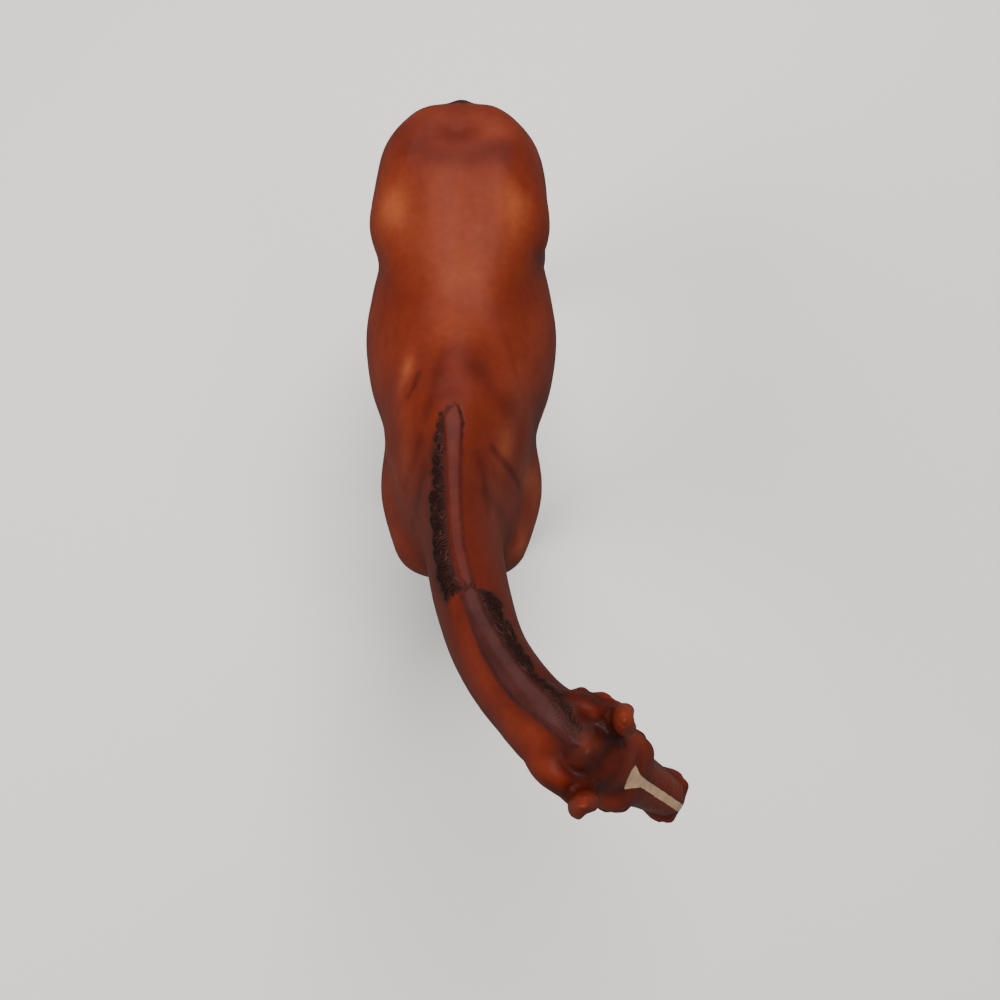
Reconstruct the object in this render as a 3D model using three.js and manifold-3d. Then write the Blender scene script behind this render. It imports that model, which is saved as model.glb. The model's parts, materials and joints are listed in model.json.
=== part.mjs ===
// A standing horse figurine, moulded in one piece: a broad, heavily muscled mare at one ninth of life
// size, with her head lowered a little and turned to her left. All lengths are in millimetres.
//
// The figure is modelled like clay. Named masses (bones, muscles, locks of hair) are laid on one
// another as distance fields, blended where they meet, and the surface of the whole is then turned
// into one closed mesh. Points are written [forward, left, up], measured from a point on the ground
// below the middle of the trunk. The head has a frame of its own at the poll.
import * as THREE from "three";
import { mergeVertices } from "three/addons/utils/BufferGeometryUtils.js";
import Module from "manifold-3d";

// Driving dimensions
const WITHERS_HEIGHT = 178;
const DRAWN_HEIGHT = 178; // the height at the withers that the points below are written for
const POLL = [151, 38, 207];
const HEAD_TURN = 61; // degrees, to the figure's left
const HEAD_DROP = 50.5; // degrees, below the horizontal
const FORELEG_AT = [55, 17];
const HINDLEG_AT = [-81, 17];
const HEAD_SIZE = 1.05;
const STANCE = { leftFore: -3, rightFore: -1, leftHind: -5, rightHind: 4 };

// Mesh settings
const CELL = 1.4;
const TRIANGLES = 9600;
const SOLE_CUT = 3; // the hooves are modelled this far below the ground and then cut flat

// The trunk, as sections along the figure: height of the widest line, half width, and the
// distances from that line up to the back and down to the belly.
const TRUNK = [
  { at: [-70, 0, 143], wide: 19.5, up: 25, down: 24 },
  { at: [-54, 0, 140], wide: 28.8, up: 36, down: 27 },
  { at: [-37, 0, 136], wide: 30.5, up: 37, down: 31 },
  { at: [-19, 0, 133], wide: 34.6, up: 35.5, down: 36 },
  { at: [0, 0, 132], wide: 37.2, up: 35.5, down: 37.5 },
  { at: [22, 0, 130], wide: 34.8, up: 41, down: 35 },
  { at: [43, 0, 128], wide: 27, up: 49, down: 32 },
  { at: [62, 0, 128], wide: 21.5, up: 47, down: 31 },
  { at: [76, 0, 128], wide: 16, up: 32, down: 27 },
];

// Masses of the trunk, on the left side. The right side mirrors them.
const TRUNK_EGGS = {
  breast: { at: [81.5, 8, 114], radii: [11, 9.5, 15], blend: 6 },
  pectoralFold: { at: [69, 10, 103], radii: [15, 9, 7], blend: 7 },
  pointOfShoulder: { at: [80, 14.5, 119], radii: [8.5, 7.5, 10], blend: 9 },
  lateralTriceps: { at: [60, 20.5, 121], radii: [16, 9.8, 14], blend: 9, pitch: -25 },
  elbow: { at: [47.5, 21, 106], radii: [5.5, 5.5, 6], blend: 7 },
  loin: { at: [-26, 11, 160], radii: [22, 15, 9], blend: 11 },
  pointOfHip: { at: [-33, 26, 155], radii: [8, 6, 7], blend: 10 },
  gluteal: { at: [-52, 13.6, 154], radii: [28, 18, 21], blend: 9, pitch: 6 },
  croup: { at: [-68, 9, 151], radii: [15, 11, 17], blend: 8 },
  thigh: { at: [-60, 19.5, 131], radii: [21, 14.5, 27], blend: 9, pitch: 12 },
  innerThigh: { at: [-61, 12, 108], radii: [13, 9, 14], blend: 8, pitch: 30 },
  stifle: { at: [-46, 25, 110], radii: [8.5, 8, 11], blend: 8, pitch: 20 },
};
const TRUNK_BONES = {
  withersRidge: { from: [52, 0, 174], to: [22, 0, 166], thick: [5, 5], blend: 10 },
  shoulderBlade: { from: [46, 13, 160], to: [75, 16, 124], thick: [11, 12], flat: 0.62, blend: 9 },
  upperArm: { from: [76, 16, 118], to: [57, 21, 108], thick: [9.5, 9.5], flat: 0.8, blend: 8 },
  longTriceps: { from: [46, 16, 148], to: [49, 20.5, 110], thick: [9, 9], flat: 0.85, blend: 9 },
  hamstring: { from: [-74.5, 10, 148], to: [-74, 16.5, 106], thick: [9.5, 8.5], flat: 0.9, blend: 7 },
  quadriceps: { from: [-37, 23, 150], to: [-46, 24, 114], thick: [8, 10], flat: 0.8, blend: 9 },
};

// Legs, as measured from the column each stands on: [forward of it, left of it, up].
const FORELEG_BONES = {
  forearm: { from: [-1, 4, 105], to: [1, 0.5, 62], thick: [11.5, 5.2], flat: 0.8, blend: 8 },
  cannon: { from: [1.6, 0, 52], to: [1.3, 0, 27], thick: [3.7, 3.4], blend: 4 },
  tendon: { from: [-2.8, 0, 51], to: [-3.2, 0, 26], thick: [2.4, 2.5], blend: 1.8 },
  pastern: { from: [0.8, 0, 22], to: [6.2, 0, 11], thick: [4.2, 4.6], blend: 4 },
};
const FORELEG_EGGS = {
  extensor: { at: [5.2, 3.6, 91], radii: [6.2, 5.6, 16], blend: 6, pitch: -5 },
  flexor: { at: [-6, 2.8, 90], radii: [5.5, 5.2, 14], blend: 6, pitch: 9 },
  knee: { at: [1.2, 0, 56], radii: [5.4, 5.7, 8], blend: 4 },
  kneeCap: { at: [3.2, 0, 53.4], radii: [3.9, 4.8, 4.4], blend: 3 },
  kneeBack: { at: [-4, 0, 57.5], radii: [2.8, 2.8, 4.4], blend: 4 },
  fetlock: { at: [0.2, 0, 24.2], radii: [4.9, 4.8, 5.8], blend: 4 },
  ergot: { at: [-3.4, 0, 22.4], radii: [3.2, 3.3, 3.8], blend: 3.5 },
  coronet: { at: [6.2, 0, 8], radii: [6, 6.1, 2.3], blend: 2.5, pitch: 30 },
};
const HINDLEG_BONES = {
  gaskin: { from: [26, 5, 106], to: [3.5, 0, 70], thick: [13, 5.6], flat: 0.75, blend: 8 },
  achilles: { from: [5, 2, 90], to: [-5.6, 0, 71.5], thick: [3.6, 2.5], blend: 5 },
  heelBone: { from: [-5.6, 0, 70], to: [-4, 0, 57], thick: [3.1, 3], blend: 3.5 },
  cannon: { from: [0, 0, 58], to: [0.2, 0, 27], thick: [4, 3.6], blend: 4 },
  tendon: { from: [-4.5, 0, 58], to: [-4.4, 0, 26], thick: [2.6, 2.6], blend: 1.8 },
  pastern: { from: [0, 0, 22.5], to: [5.6, 0, 11], thick: [4.3, 4.7], blend: 4 },
};
const HINDLEG_EGGS = {
  shin: { at: [18.5, 4.5, 91], radii: [6.6, 6.2, 16], blend: 7, pitch: -30 },
  calf: { at: [11, 4, 95], radii: [7, 6.6, 14], blend: 7, pitch: -26 },
  hock: { at: [0.6, 0, 64], radii: [6.2, 5.9, 9.6], blend: 5, pitch: -8 },
  fetlock: { at: [-0.8, 0, 24.7], radii: [5.1, 4.9, 6], blend: 4 },
  ergot: { at: [-4.4, 0, 23], radii: [3.3, 3.4, 3.9], blend: 3.5 },
  coronet: { at: [5.8, 0, 8.2], radii: [5.9, 5.9, 2.3], blend: 2.5, pitch: 29 },
};
const FORE_HOOF = { toe: 19, heel: 4.4, wide: 7.3, lean: 0.76, high: 10.2, low: 4.6 };
const HIND_HOOF = { toe: 18, heel: 4, wide: 6.9, lean: 0.7, high: 10.4, low: 4.8 };

// The neck, as sections from inside the chest to the poll.
const NECK = [
  { at: [52, 0, 142], wide: 18, up: 34, down: 36 },
  { at: [72, 1, 149], wide: 15.5, up: 32, down: 33 },
  { at: [91, 3.3, 157], wide: 13, up: 30, down: 29 },
  { at: [109, 7, 168], wide: 12, up: 26.5, down: 25 },
  { at: [125, 12.6, 178], wide: 11, up: 22.5, down: 21 },
  { at: [138, 21.5, 187.5], wide: 10.6, up: 18, down: 16.5 },
  { at: [147.5, 32, 193], wide: 10, up: 14.5, down: 13 },
  { at: [151.5, 41, 194], wide: 9, up: 11, down: 9 },
];
// The crest is the rounded strip of parted mane that lies along the top of the neck.
const CREST = [
  { at: [44, 0, 175.5], wide: 2, up: 1.6, down: 4 },
  { at: [52, 0.2, 178.2], wide: 3, up: 1.8, down: 4 },
  { at: [66, 0.8, 180.5], wide: 3.3, up: 2, down: 4 },
  { at: [82, 2, 184.6], wide: 3.3, up: 2.2, down: 4 },
  { at: [97, 4.2, 189.6], wide: 3.2, up: 2.2, down: 4 },
  { at: [110, 7.6, 194.6], wide: 3.1, up: 2.2, down: 4 },
  { at: [124, 13.6, 200.6], wide: 3.1, up: 2.2, down: 4 },
  { at: [135, 21.4, 205], wide: 3, up: 2.2, down: 4 },
  { at: [143, 29.4, 207.4], wide: 2.9, up: 2.1, down: 4 },
  { at: [150, 36.5, 208], wide: 2.6, up: 2, down: 4 },
];
// The mane falls on the right from the withers to mid-neck, and on the left from there to the ears.
// Its reach down the side of the neck is an angle about the middle of the neck.
const MANE = { locks: 25, thick: 1.9, partsAt: 0.56, drift: 1.2 };
const MANE_REACH = { withers: 0.44, parting: 0.82, poll: 0.62 };
const MANE_CLUMP = [
  { from: [145, 32, 207.5], to: [136.5, 36.5, 202], thick: [2.8, 1.6], blend: 2 },
  { from: [147, 35, 208], to: [138, 41.5, 203], thick: [3, 2.2], blend: 2 },
  { from: [148, 38, 208], to: [140.5, 45, 203], thick: [3, 2.2], blend: 2 },
];
const TAIL_LOCKS = { ridges: 5, deep: 0.8, twist: 2.4 };

// The tail, from the dock down.
const TAIL = [
  { at: [-72, 0, 164], wide: 4.5, up: 3.6, down: 5 },
  { at: [-82, 0, 159.5], wide: 4.8, up: 3.6, down: 5 },
  { at: [-90, 0, 149], wide: 6, up: 4.2, down: 5 },
  { at: [-94.5, 0, 130], wide: 8, up: 5, down: 5 },
  { at: [-96, 0, 105], wide: 9.8, up: 5.6, down: 5.4 },
  { at: [-95, 0, 80], wide: 9, up: 5.4, down: 5.2 },
  { at: [-92.5, 0, 58], wide: 6, up: 4.2, down: 4.2 },
  { at: [-90, 0, 40], wide: 2, up: 1.8, down: 1.8 },
];

// The head, in its own frame: [down the face from the poll, left, out of the face].
const HEAD_SKULL = [
  { at: [-4, 0, -12], wide: 8.6, up: 9.5, down: 13 },
  { at: [5, 0, -12], wide: 9.6, up: 13, down: 17 },
  { at: [14, 0, -12], wide: 10.4, up: 14, down: 17.5 },
  { at: [23, 0, -11.5], wide: 10.4, up: 13.3, down: 15.5 },
  { at: [33, 0, -10.5], wide: 8.6, up: 10.6, down: 11 },
  { at: [44, 0, -9.8], wide: 7, up: 8.6, down: 7.6 },
  { at: [54, 0, -10], wide: 6.5, up: 7.6, down: 6 },
  { at: [61, 0, -11], wide: 6.6, up: 7, down: 6.4 },
  { at: [65, 0, -12], wide: 5.6, up: 5.2, down: 5 },
];
const HEAD_EGGS = {
  jaw: { at: [16.5, 5, -19.5], radii: [14.5, 5, 13], blend: 4 },
  orbit: { at: [21.5, 6.9, -4.2], radii: [7.4, 2.7, 4.2], blend: 4.5, pitch: 8 },
  brow: { at: [19.5, 6.8, -1.8], radii: [5.8, 2.8, 2.6], blend: 3, pitch: 8 },
  eye: { at: [23, 9, -4.9], radii: [2.7, 1.8, 2.1], blend: 0.6, pitch: 12 },
  nostril: { at: [60, 5, -8.5], radii: [4.6, 2.8, 3.8], blend: 2.5, pitch: 20 },
  upperLip: { at: [63.5, 0, -12.5], radii: [4.8, 5.8, 4.6], blend: 2.5 },
  lowerLip: { at: [60.5, 0, -18], radii: [5, 4.8, 3], blend: 2 },
  chin: { at: [56.5, 0, -18.8], radii: [4.4, 4.4, 3], blend: 2.5 },
  atlas: { at: [-1.2, 8.4, -5.2], radii: [7, 3.6, 6], blend: 6, pitch: -25 },
  earBulb: { at: [2, 8, -1.2], radii: [4.2, 3.8, 4], blend: 3 },
};
const HEAD_BONES = {
  jawBar: { from: [28, 4.6, -22.5], to: [56, 2.4, -17], thick: [5, 3], blend: 6 },
  cheekCrest: { from: [27, 9.6, -10.5], to: [41, 6.8, -11.5], thick: [1.9, 1.4], blend: 2.5 },
  noseBone: { from: [20, 2.6, -0.8], to: [54, 2, -4.6], thick: [2.6, 2.2], blend: 3 },
};
const EAR = [
  { at: [4, 8.8, -1], wide: 3.2, up: 3.1, down: 3.2 },
  { at: [-0.6, 10.3, 4.2], wide: 3.5, up: 2.8, down: 2.9 },
  { at: [-4.8, 10.3, 6.8], wide: 3.7, up: 2.9, down: 3 },
  { at: [-9.3, 10, 9.4], wide: 3.1, up: 2.3, down: 2.5 },
  { at: [-12.6, 9.7, 11.3], wide: 1.5, up: 1.2, down: 1.3 },
];
const EAR_ACROSS = [-0.3, 0.866, -0.4];
const HEAD_HOLLOWS = {
  temple: { at: [11, 11.2, -2.4], radii: [4, 1.6, 2], blend: 3 },
  nostrilHole: { at: [62.3, 7.2, -8], radii: [2.6, 1.6, 1.7], blend: 1, pitch: 30 },
};
const FORELOCK = {
  middle: { from: [-4, 0, -0.4], to: [5.6, 0, 1], thick: [2.2, 1], blend: 2.5 },
  side: { from: [-3, 2.6, -0.6], to: [4.6, 3.4, 0.7], thick: [1.9, 0.9], blend: 2.5 },
};
const JOWL_GROOVE = [
  { at: [5, 11.4, -9], wide: 1.6, up: 1.6, down: 1.6 },
  { at: [0.5, 11, -17], wide: 2.2, up: 2.2, down: 2.2 },
  { at: [1.5, 10, -26], wide: 2.4, up: 2.4, down: 2.4 },
  { at: [7, 7, -33.5], wide: 2, up: 2, down: 2 },
];
const MOUTH = { from: [67, 6.4, -16], to: [55, 6.6, -14.6], thick: [1, 0.7], blend: 1 };
const EAR_SCOOP = { from: [0.9, 12, 6.8], to: [-8.4, 12.2, 12.2], thick: [2.1, 1.2], blend: 1.2 };

const rad = THREE.MathUtils.degToRad;
const FAR = 1e6;

// Smooth union, and smooth cut, of two distances over a blend of width k.
function blendUnion(a, b, k) {
  const h = Math.max(k - Math.abs(a - b), 0) / k;
  return Math.min(a, b) - (h * h * k) / 4;
}
function blendCut(a, hollow, k) {
  return -blendUnion(-a, hollow, k);
}

// An egg-shaped mass with three half axes. pitch tips its front up, in degrees.
function egg({ at, radii, pitch = 0, blend = 1 }) {
  const [c, s] = [Math.cos(rad(pitch)), Math.sin(rad(pitch))];
  const [ra, rb, rc] = radii;
  const distance = (x, y, z) => {
    const dx = x - at[0];
    const dy = (y - at[1]) / rb;
    const dz = z - at[2];
    const a = (c * dx + s * dz) / ra;
    const b = (c * dz - s * dx) / rc;
    const near = Math.sqrt(a * a + dy * dy + b * b);
    const steep = Math.sqrt((a / ra) ** 2 + (dy / rb) ** 2 + (b / rc) ** 2);
    return steep < 1e-9 ? -Math.min(ra, rb, rc) : (near * (near - 1)) / steep;
  };
  return { distance, blend, centre: at, reach: Math.max(...radii) };
}

// A tapered rod with round ends, thick[0] at its start and thick[1] at its end. flat thins it sideways.
function bone({ from, to, thick, flat = 1, blend = 1 }) {
  const [ax, ay, az] = [from[0], from[1] / flat, from[2]];
  const [bx, by, bz] = [to[0] - ax, to[1] / flat - ay, to[2] - az];
  const length2 = bx * bx + by * by + bz * bz;
  const distance = (x, y, z) => {
    const [px, py, pz] = [x - ax, y / flat - ay, z - az];
    const t = Math.min(1, Math.max(0, (px * bx + py * by + pz * bz) / length2));
    const away = Math.hypot(px - t * bx, py - t * by, pz - t * bz);
    return (away - thick[0] - t * (thick[1] - thick[0])) * flat;
  };
  const centre = from.map((v, i) => (v + to[i]) / 2);
  const reach = Math.hypot(...from.map((v, i) => v - to[i])) / 2 + Math.max(...thick);
  return { distance, blend, centre, reach };
}

// A body swept along a smooth path through sections. side is the direction that stays level.
// relief(t, across, over) adds thickness, from the place along the path and round the section.
function sweep(sections, { steps = 48, blend = 1, power = 2, relief = null, level = null } = {}) {
  const path = new THREE.CatmullRomCurve3(sections.map((s) => new THREE.Vector3(...s.at)));
  const sizes = new THREE.CatmullRomCurve3(sections.map((s) => new THREE.Vector3(s.wide, s.up, s.down)));
  const rows = [];
  for (let i = 0; i <= steps; i++) {
    const t = i / steps;
    const p = path.getPoint(t);
    const ahead = path.getTangent(t);
    const side = level ? new THREE.Vector3(...level) : new THREE.Vector3(-ahead.y, ahead.x, 0);
    side.addScaledVector(ahead, -side.dot(ahead)).normalize();
    const over = new THREE.Vector3().crossVectors(ahead, side);
    const size = sizes.getPoint(t);
    rows.push([p.x, p.y, p.z, ahead.x, ahead.y, ahead.z, side.x, side.y, side.z, over.x, over.y, over.z,
      size.x, size.y, size.z]);
  }
  const mixed = new Float64Array(15);
  const distance = (x, y, z) => {
    let best = FAR;
    let bestRow = 0;
    let bestT = 0;
    for (let i = 0; i < steps; i++) {
      const [a, b] = [rows[i], rows[i + 1]];
      const [bx, by, bz] = [b[0] - a[0], b[1] - a[1], b[2] - a[2]];
      const [px, py, pz] = [x - a[0], y - a[1], z - a[2]];
      const t = Math.min(1, Math.max(0, (px * bx + py * by + pz * bz) / (bx * bx + by * by + bz * bz)));
      const away = (px - t * bx) ** 2 + (py - t * by) ** 2 + (pz - t * bz) ** 2;
      if (away < best) [best, bestRow, bestT] = [away, i, t];
    }
    const [a, b] = [rows[bestRow], rows[bestRow + 1]];
    for (let j = 0; j < 15; j++) mixed[j] = a[j] + bestT * (b[j] - a[j]);
    const [qx, qy, qz] = [x - mixed[0], y - mixed[1], z - mixed[2]];
    let beyond = qx * mixed[3] + qy * mixed[4] + qz * mixed[5];
    const across = qx * mixed[6] + qy * mixed[7] + qz * mixed[8];
    const over = qx * mixed[9] + qy * mixed[10] + qz * mixed[11];
    const atEnd = (bestRow === 0 && bestT === 0) || (bestRow === steps - 1 && bestT === 1);
    if (!atEnd) beyond = 0;
    const wide = mixed[12];
    const tall = over > 0 ? mixed[13] : mixed[14];
    const cap = Math.min(wide, tall);
    const ratio = (Math.abs(across / wide) ** power + Math.abs(over / tall) ** power
      + Math.abs(beyond / cap) ** power) ** (1 / power);
    const length = Math.hypot(across, over, beyond);
    const plain = ratio < 1e-6 ? -cap : length * (1 - 1 / ratio);
    if (!relief || Math.abs(plain) > 6) return plain;
    return plain - relief((bestRow + bestT) / steps, across / wide, over / tall);
  };
  const box = new THREE.Box3().setFromPoints(rows.map((r) => new THREE.Vector3(r[0], r[1], r[2])));
  const centre = box.getCenter(new THREE.Vector3()).toArray();
  const reach = box.getSize(new THREE.Vector3()).length() / 2
    + Math.max(...sections.map((s) => Math.max(s.wide, s.up, s.down)));
  return { distance, blend, centre, reach };
}

// Adds up a pile of masses in order, each blended into what is there. Far masses are passed over.
function pile(masses, hollows = []) {
  return (x, y, z) => {
    let d = FAR;
    for (const m of masses) {
      const gap = Math.hypot(x - m.centre[0], y - m.centre[1], z - m.centre[2]) - m.reach;
      if (gap > d + m.blend) continue;
      d = d === FAR ? m.distance(x, y, z) : blendUnion(d, m.distance(x, y, z), m.blend);
    }
    for (const h of hollows) d = blendCut(d, h.distance(x, y, z), h.blend);
    return d;
  };
}

const eggs = (table) => Object.values(table).map(egg);
const bones = (table) => Object.values(table).map(bone);

// A hoof: a leaning cone with its top cut along the coronet. It goes on below the ground.
function hoof({ toe, heel, wide, lean, high, low }) {
  const length = (toe - heel) / 2;
  const middle = (toe + heel) / 2;
  const [ax, az] = [toe - lean * high, high];
  const [bx, bz] = [heel - lean * low, low];
  const slope = Math.hypot(ax - bx, az - bz);
  const [nx, nz] = [-(az - bz) / slope, (ax - bx) / slope];
  const distance = (x, y, z) => {
    const narrow = 1 - 0.014 * z;
    const a = (x - middle + lean * z) / (length * narrow);
    const b = y / (wide * narrow);
    const ratio = Math.hypot(a, b);
    const wall = (ratio - 1) * Math.min(length, wide) * 0.8;
    const top = (x - ax) * nx + (z - az) * nz;
    const under = -SOLE_CUT - z;
    return Math.max(-blendUnion(-wall, -top, 0.8), under);
  };
  return { distance, blend: 1.2, centre: [middle - lean * 5, 0, 5], reach: length + 9 };
}

function leg(boneTable, eggTable, hoofSizes) {
  return pile([...bones(boneTable), ...eggs(eggTable), hoof(hoofSizes)]);
}

function trunkField() {
  const trunk = sweep(TRUNK, { level: [0, 1, 0] });
  const half = pile([trunk, ...bones(TRUNK_BONES), ...eggs(TRUNK_EGGS)]);
  return (f, l, u) => half(f, Math.abs(l), u);
}

function headField() {
  const skull = sweep(HEAD_SKULL, { level: [0, 1, 0], blend: 3 });
  const ear = sweep(EAR, { steps: 12, level: EAR_ACROSS, blend: 2 });
  const masses = [skull, ...eggs(HEAD_EGGS), ...bones(HEAD_BONES), ear, ...bones(FORELOCK)];
  const groove = sweep(JOWL_GROOVE, { steps: 12, blend: 3 });
  const half = pile(masses, [...eggs(HEAD_HOLLOWS), bone(EAR_SCOOP), bone(MOUTH), groove]);
  const k = HEAD_SIZE;
  return (a, b, c) => k * half(a / k, Math.abs(b) / k, c / k);
}

// The head's frame: how a point of the figure is measured down, across and out of the face.
const headFrame = (() => {
  const [turn, drop] = [rad(HEAD_TURN), rad(HEAD_DROP)];
  const ahead = [Math.cos(turn), Math.sin(turn), 0];
  const down = [ahead[0] * Math.cos(drop), ahead[1] * Math.cos(drop), -Math.sin(drop)];
  const left = [-Math.sin(turn), Math.cos(turn), 0];
  const out = [ahead[0] * Math.sin(drop), ahead[1] * Math.sin(drop), Math.cos(drop)];
  return [down, left, out];
})();
function toHead(f, l, u) {
  const [x, y, z] = [f - POLL[0], l - POLL[1], u - POLL[2]];
  return headFrame.map((axis) => axis[0] * x + axis[1] * y + axis[2] * z);
}

// The locks of the mane, as thickness added to the neck: they hang from the crest and drift back.
function maneRelief(t, across, over) {
  const { locks, thick, partsAt, drift } = MANE;
  const { withers, parting, poll } = MANE_REACH;
  const side = t < partsAt ? -1 : 1;
  const angle = Math.atan2(across * side, over);
  const place = t * locks + drift * angle;
  const lock = Math.floor(place);
  const uneven = Math.abs(Math.sin(lock * 12.9 + side) * 43.7) % 1;
  const { lerp, smoothstep } = THREE.MathUtils;
  const behind = lerp(withers, parting, t / partsAt);
  const reach = t < partsAt ? behind : lerp(parting, poll, (t - partsAt) / (1 - partsAt));
  const edge = reach * (0.85 + 0.3 * uneven);
  const shown = smoothstep(angle, -0.1, 0.1) * (1 - smoothstep(angle, edge - 0.18, edge + 0.05))
    * smoothstep(Math.abs(t - partsAt), 0, 0.03) * smoothstep(t, -0.02, 0.06) * (1 - smoothstep(t, 0.93, 1));
  return thick * shown * (0.4 + 0.6 * Math.sin(Math.PI * (place - lock)));
}
function tailRelief(t, across, over) {
  const { ridges, deep, twist } = TAIL_LOCKS;
  const angle = Math.atan2(across, over);
  const wave = Math.abs(Math.sin((ridges * angle) / 2 + twist * Math.sin(4 * t + 0.6)));
  return deep * (wave - 0.7) * THREE.MathUtils.smoothstep(t, 0.12, 0.4);
}

function figureField() {
  const trunk = trunkField();
  const crest = sweep(CREST, { steps: 40 });
  const maneClump = pile(MANE_CLUMP.map(bone));
  const foreleg = leg(FORELEG_BONES, FORELEG_EGGS, FORE_HOOF);
  const hindleg = leg(HINDLEG_BONES, HINDLEG_EGGS, HIND_HOOF);
  const neck = sweep(NECK, { relief: maneRelief });
  const head = headField();
  const tail = sweep(TAIL, { level: [0, -1, 0], relief: tailRelief });
  const legAt = (shape, [forward, out], side, step) => (f, l, u) => {
    const swing = step * Math.max(0, Math.min(1, (100 - u) / 70));
    return shape(f - forward - swing, side * l - out, u);
  };
  const legs = [
    legAt(foreleg, FORELEG_AT, 1, STANCE.leftFore),
    legAt(foreleg, FORELEG_AT, -1, STANCE.rightFore),
    legAt(hindleg, HINDLEG_AT, 1, STANCE.leftHind),
    legAt(hindleg, HINDLEG_AT, -1, STANCE.rightHind),
  ];
  return (f, l, u) => {
    let d = trunk(f, l, u);
    if (u < 135) d = legs.reduce((sum, shape) => blendUnion(sum, shape(f, l, u), 5), d);
    if (f > 20) d = blendUnion(d, neck.distance(f, l, u), 9);
    if (f > 30) d = blendUnion(d, crest.distance(f, l, u), 1.6);
    if (f > 100) d = blendUnion(d, head(...toHead(f, l, u)), 4);
    if (f > 100) d = blendUnion(d, maneClump(f, l, u), 2);
    if (f < -60) d = blendUnion(d, tail.distance(f, l, u), 3);
    return d;
  };
}

// The surface of a field as a closed mesh: every cube of a grid is cut into six tetrahedra, and each
// tetrahedron that the surface passes gives one or two triangles.
const TETRAHEDRA = [[0, 1, 3, 7], [0, 1, 5, 7], [0, 2, 3, 7], [0, 2, 6, 7], [0, 4, 5, 7], [0, 4, 6, 7]];

function polygonise(field, low, high, cell) {
  const count = low.map((v, i) => Math.ceil((high[i] - v) / cell) + 1);
  const [nx, ny, nz] = count;
  const node = (i, j, k) => i + nx * (j + ny * k);
  const values = new Float32Array(nx * ny * nz).fill(FAR);
  const place = (n) => [n % nx, Math.floor(n / nx) % ny, Math.floor(n / (nx * ny))]
    .map((v, i) => low[i] + v * cell);
  const forEachOf = ([i0, j0, k0], [i1, j1, k1], step, visit) => {
    for (let k = k0; k < k1; k += step) {
      for (let j = j0; j < j1; j += step) {
        for (let i = i0; i < i1; i += step) visit(i, j, k);
      }
    }
  };
  // Blocks of the grid that lie far from the surface are skipped.
  const block = 6;
  const half = (block * cell) / 2;
  forEachOf([0, 0, 0], count, block, (...first) => {
    const d = field(...first.map((v, n) => low[n] + v * cell + half));
    const far = Math.abs(d) > half * 2.6;
    forEachOf(first, first.map((v, n) => Math.min(count[n], v + block)), 1, (...at) => {
      const value = far ? d : field(...at.map((v, n) => low[n] + v * cell));
      values[node(...at)] = Math.abs(value) < 1e-4 ? 1e-4 : value;
    });
  });
  const positions = [];
  const triangles = [];
  const made = new Map();
  const vertexOn = (a, b) => {
    const key = a < b ? a * nx * ny * 4 + (b - a) : b * nx * ny * 4 + (a - b);
    if (!made.has(key)) {
      const t = values[a] / (values[a] - values[b]);
      const [p, q] = [place(a), place(b)];
      made.set(key, positions.length / 3);
      positions.push(...p.map((v, i) => v + t * (q[i] - v)));
    }
    return made.get(key);
  };
  const offsets = [0, 1, 2, 3, 4, 5, 6, 7].map((c) => node(c & 1, (c >> 1) & 1, c >> 2));
  const emit = (a, b, c, inside) => {
    const [p, q, r] = [a, b, c].map((v) => new THREE.Vector3().fromArray(positions, 3 * v));
    const normal = new THREE.Vector3().crossVectors(q.sub(p), r.sub(p));
    const outwards = normal.dot(p.sub(new THREE.Vector3(...place(inside)))) > 0;
    triangles.push(a, outwards ? b : c, outwards ? c : b);
  };
  forEachOf([0, 0, 0], count.map((n) => n - 1), 1, (...at) => {
    const base = node(...at);
    const signs = offsets.map((o) => values[base + o] < 0);
    if (signs.every((s) => s === signs[0])) return;
    for (const corners of TETRAHEDRA) {
      const inner = corners.filter((c) => signs[c]).map((c) => base + offsets[c]);
      const outer = corners.filter((c) => !signs[c]).map((c) => base + offsets[c]);
      if (!inner.length || !outer.length) continue;
      if (inner.length === 2) {
        const [a, b] = inner;
        const [c, d] = outer;
        const quad = [vertexOn(a, c), vertexOn(a, d), vertexOn(b, d), vertexOn(b, c)];
        emit(quad[0], quad[1], quad[2], a);
        emit(quad[0], quad[2], quad[3], a);
      } else {
        const [lone, others] = inner.length === 1 ? [inner[0], outer] : [outer[0], inner];
        const [a, b, c] = others.map((o) => vertexOn(lone, o));
        emit(a, b, c, inner[0]);
      }
    }
  });
  return { positions, triangles };
}

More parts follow.
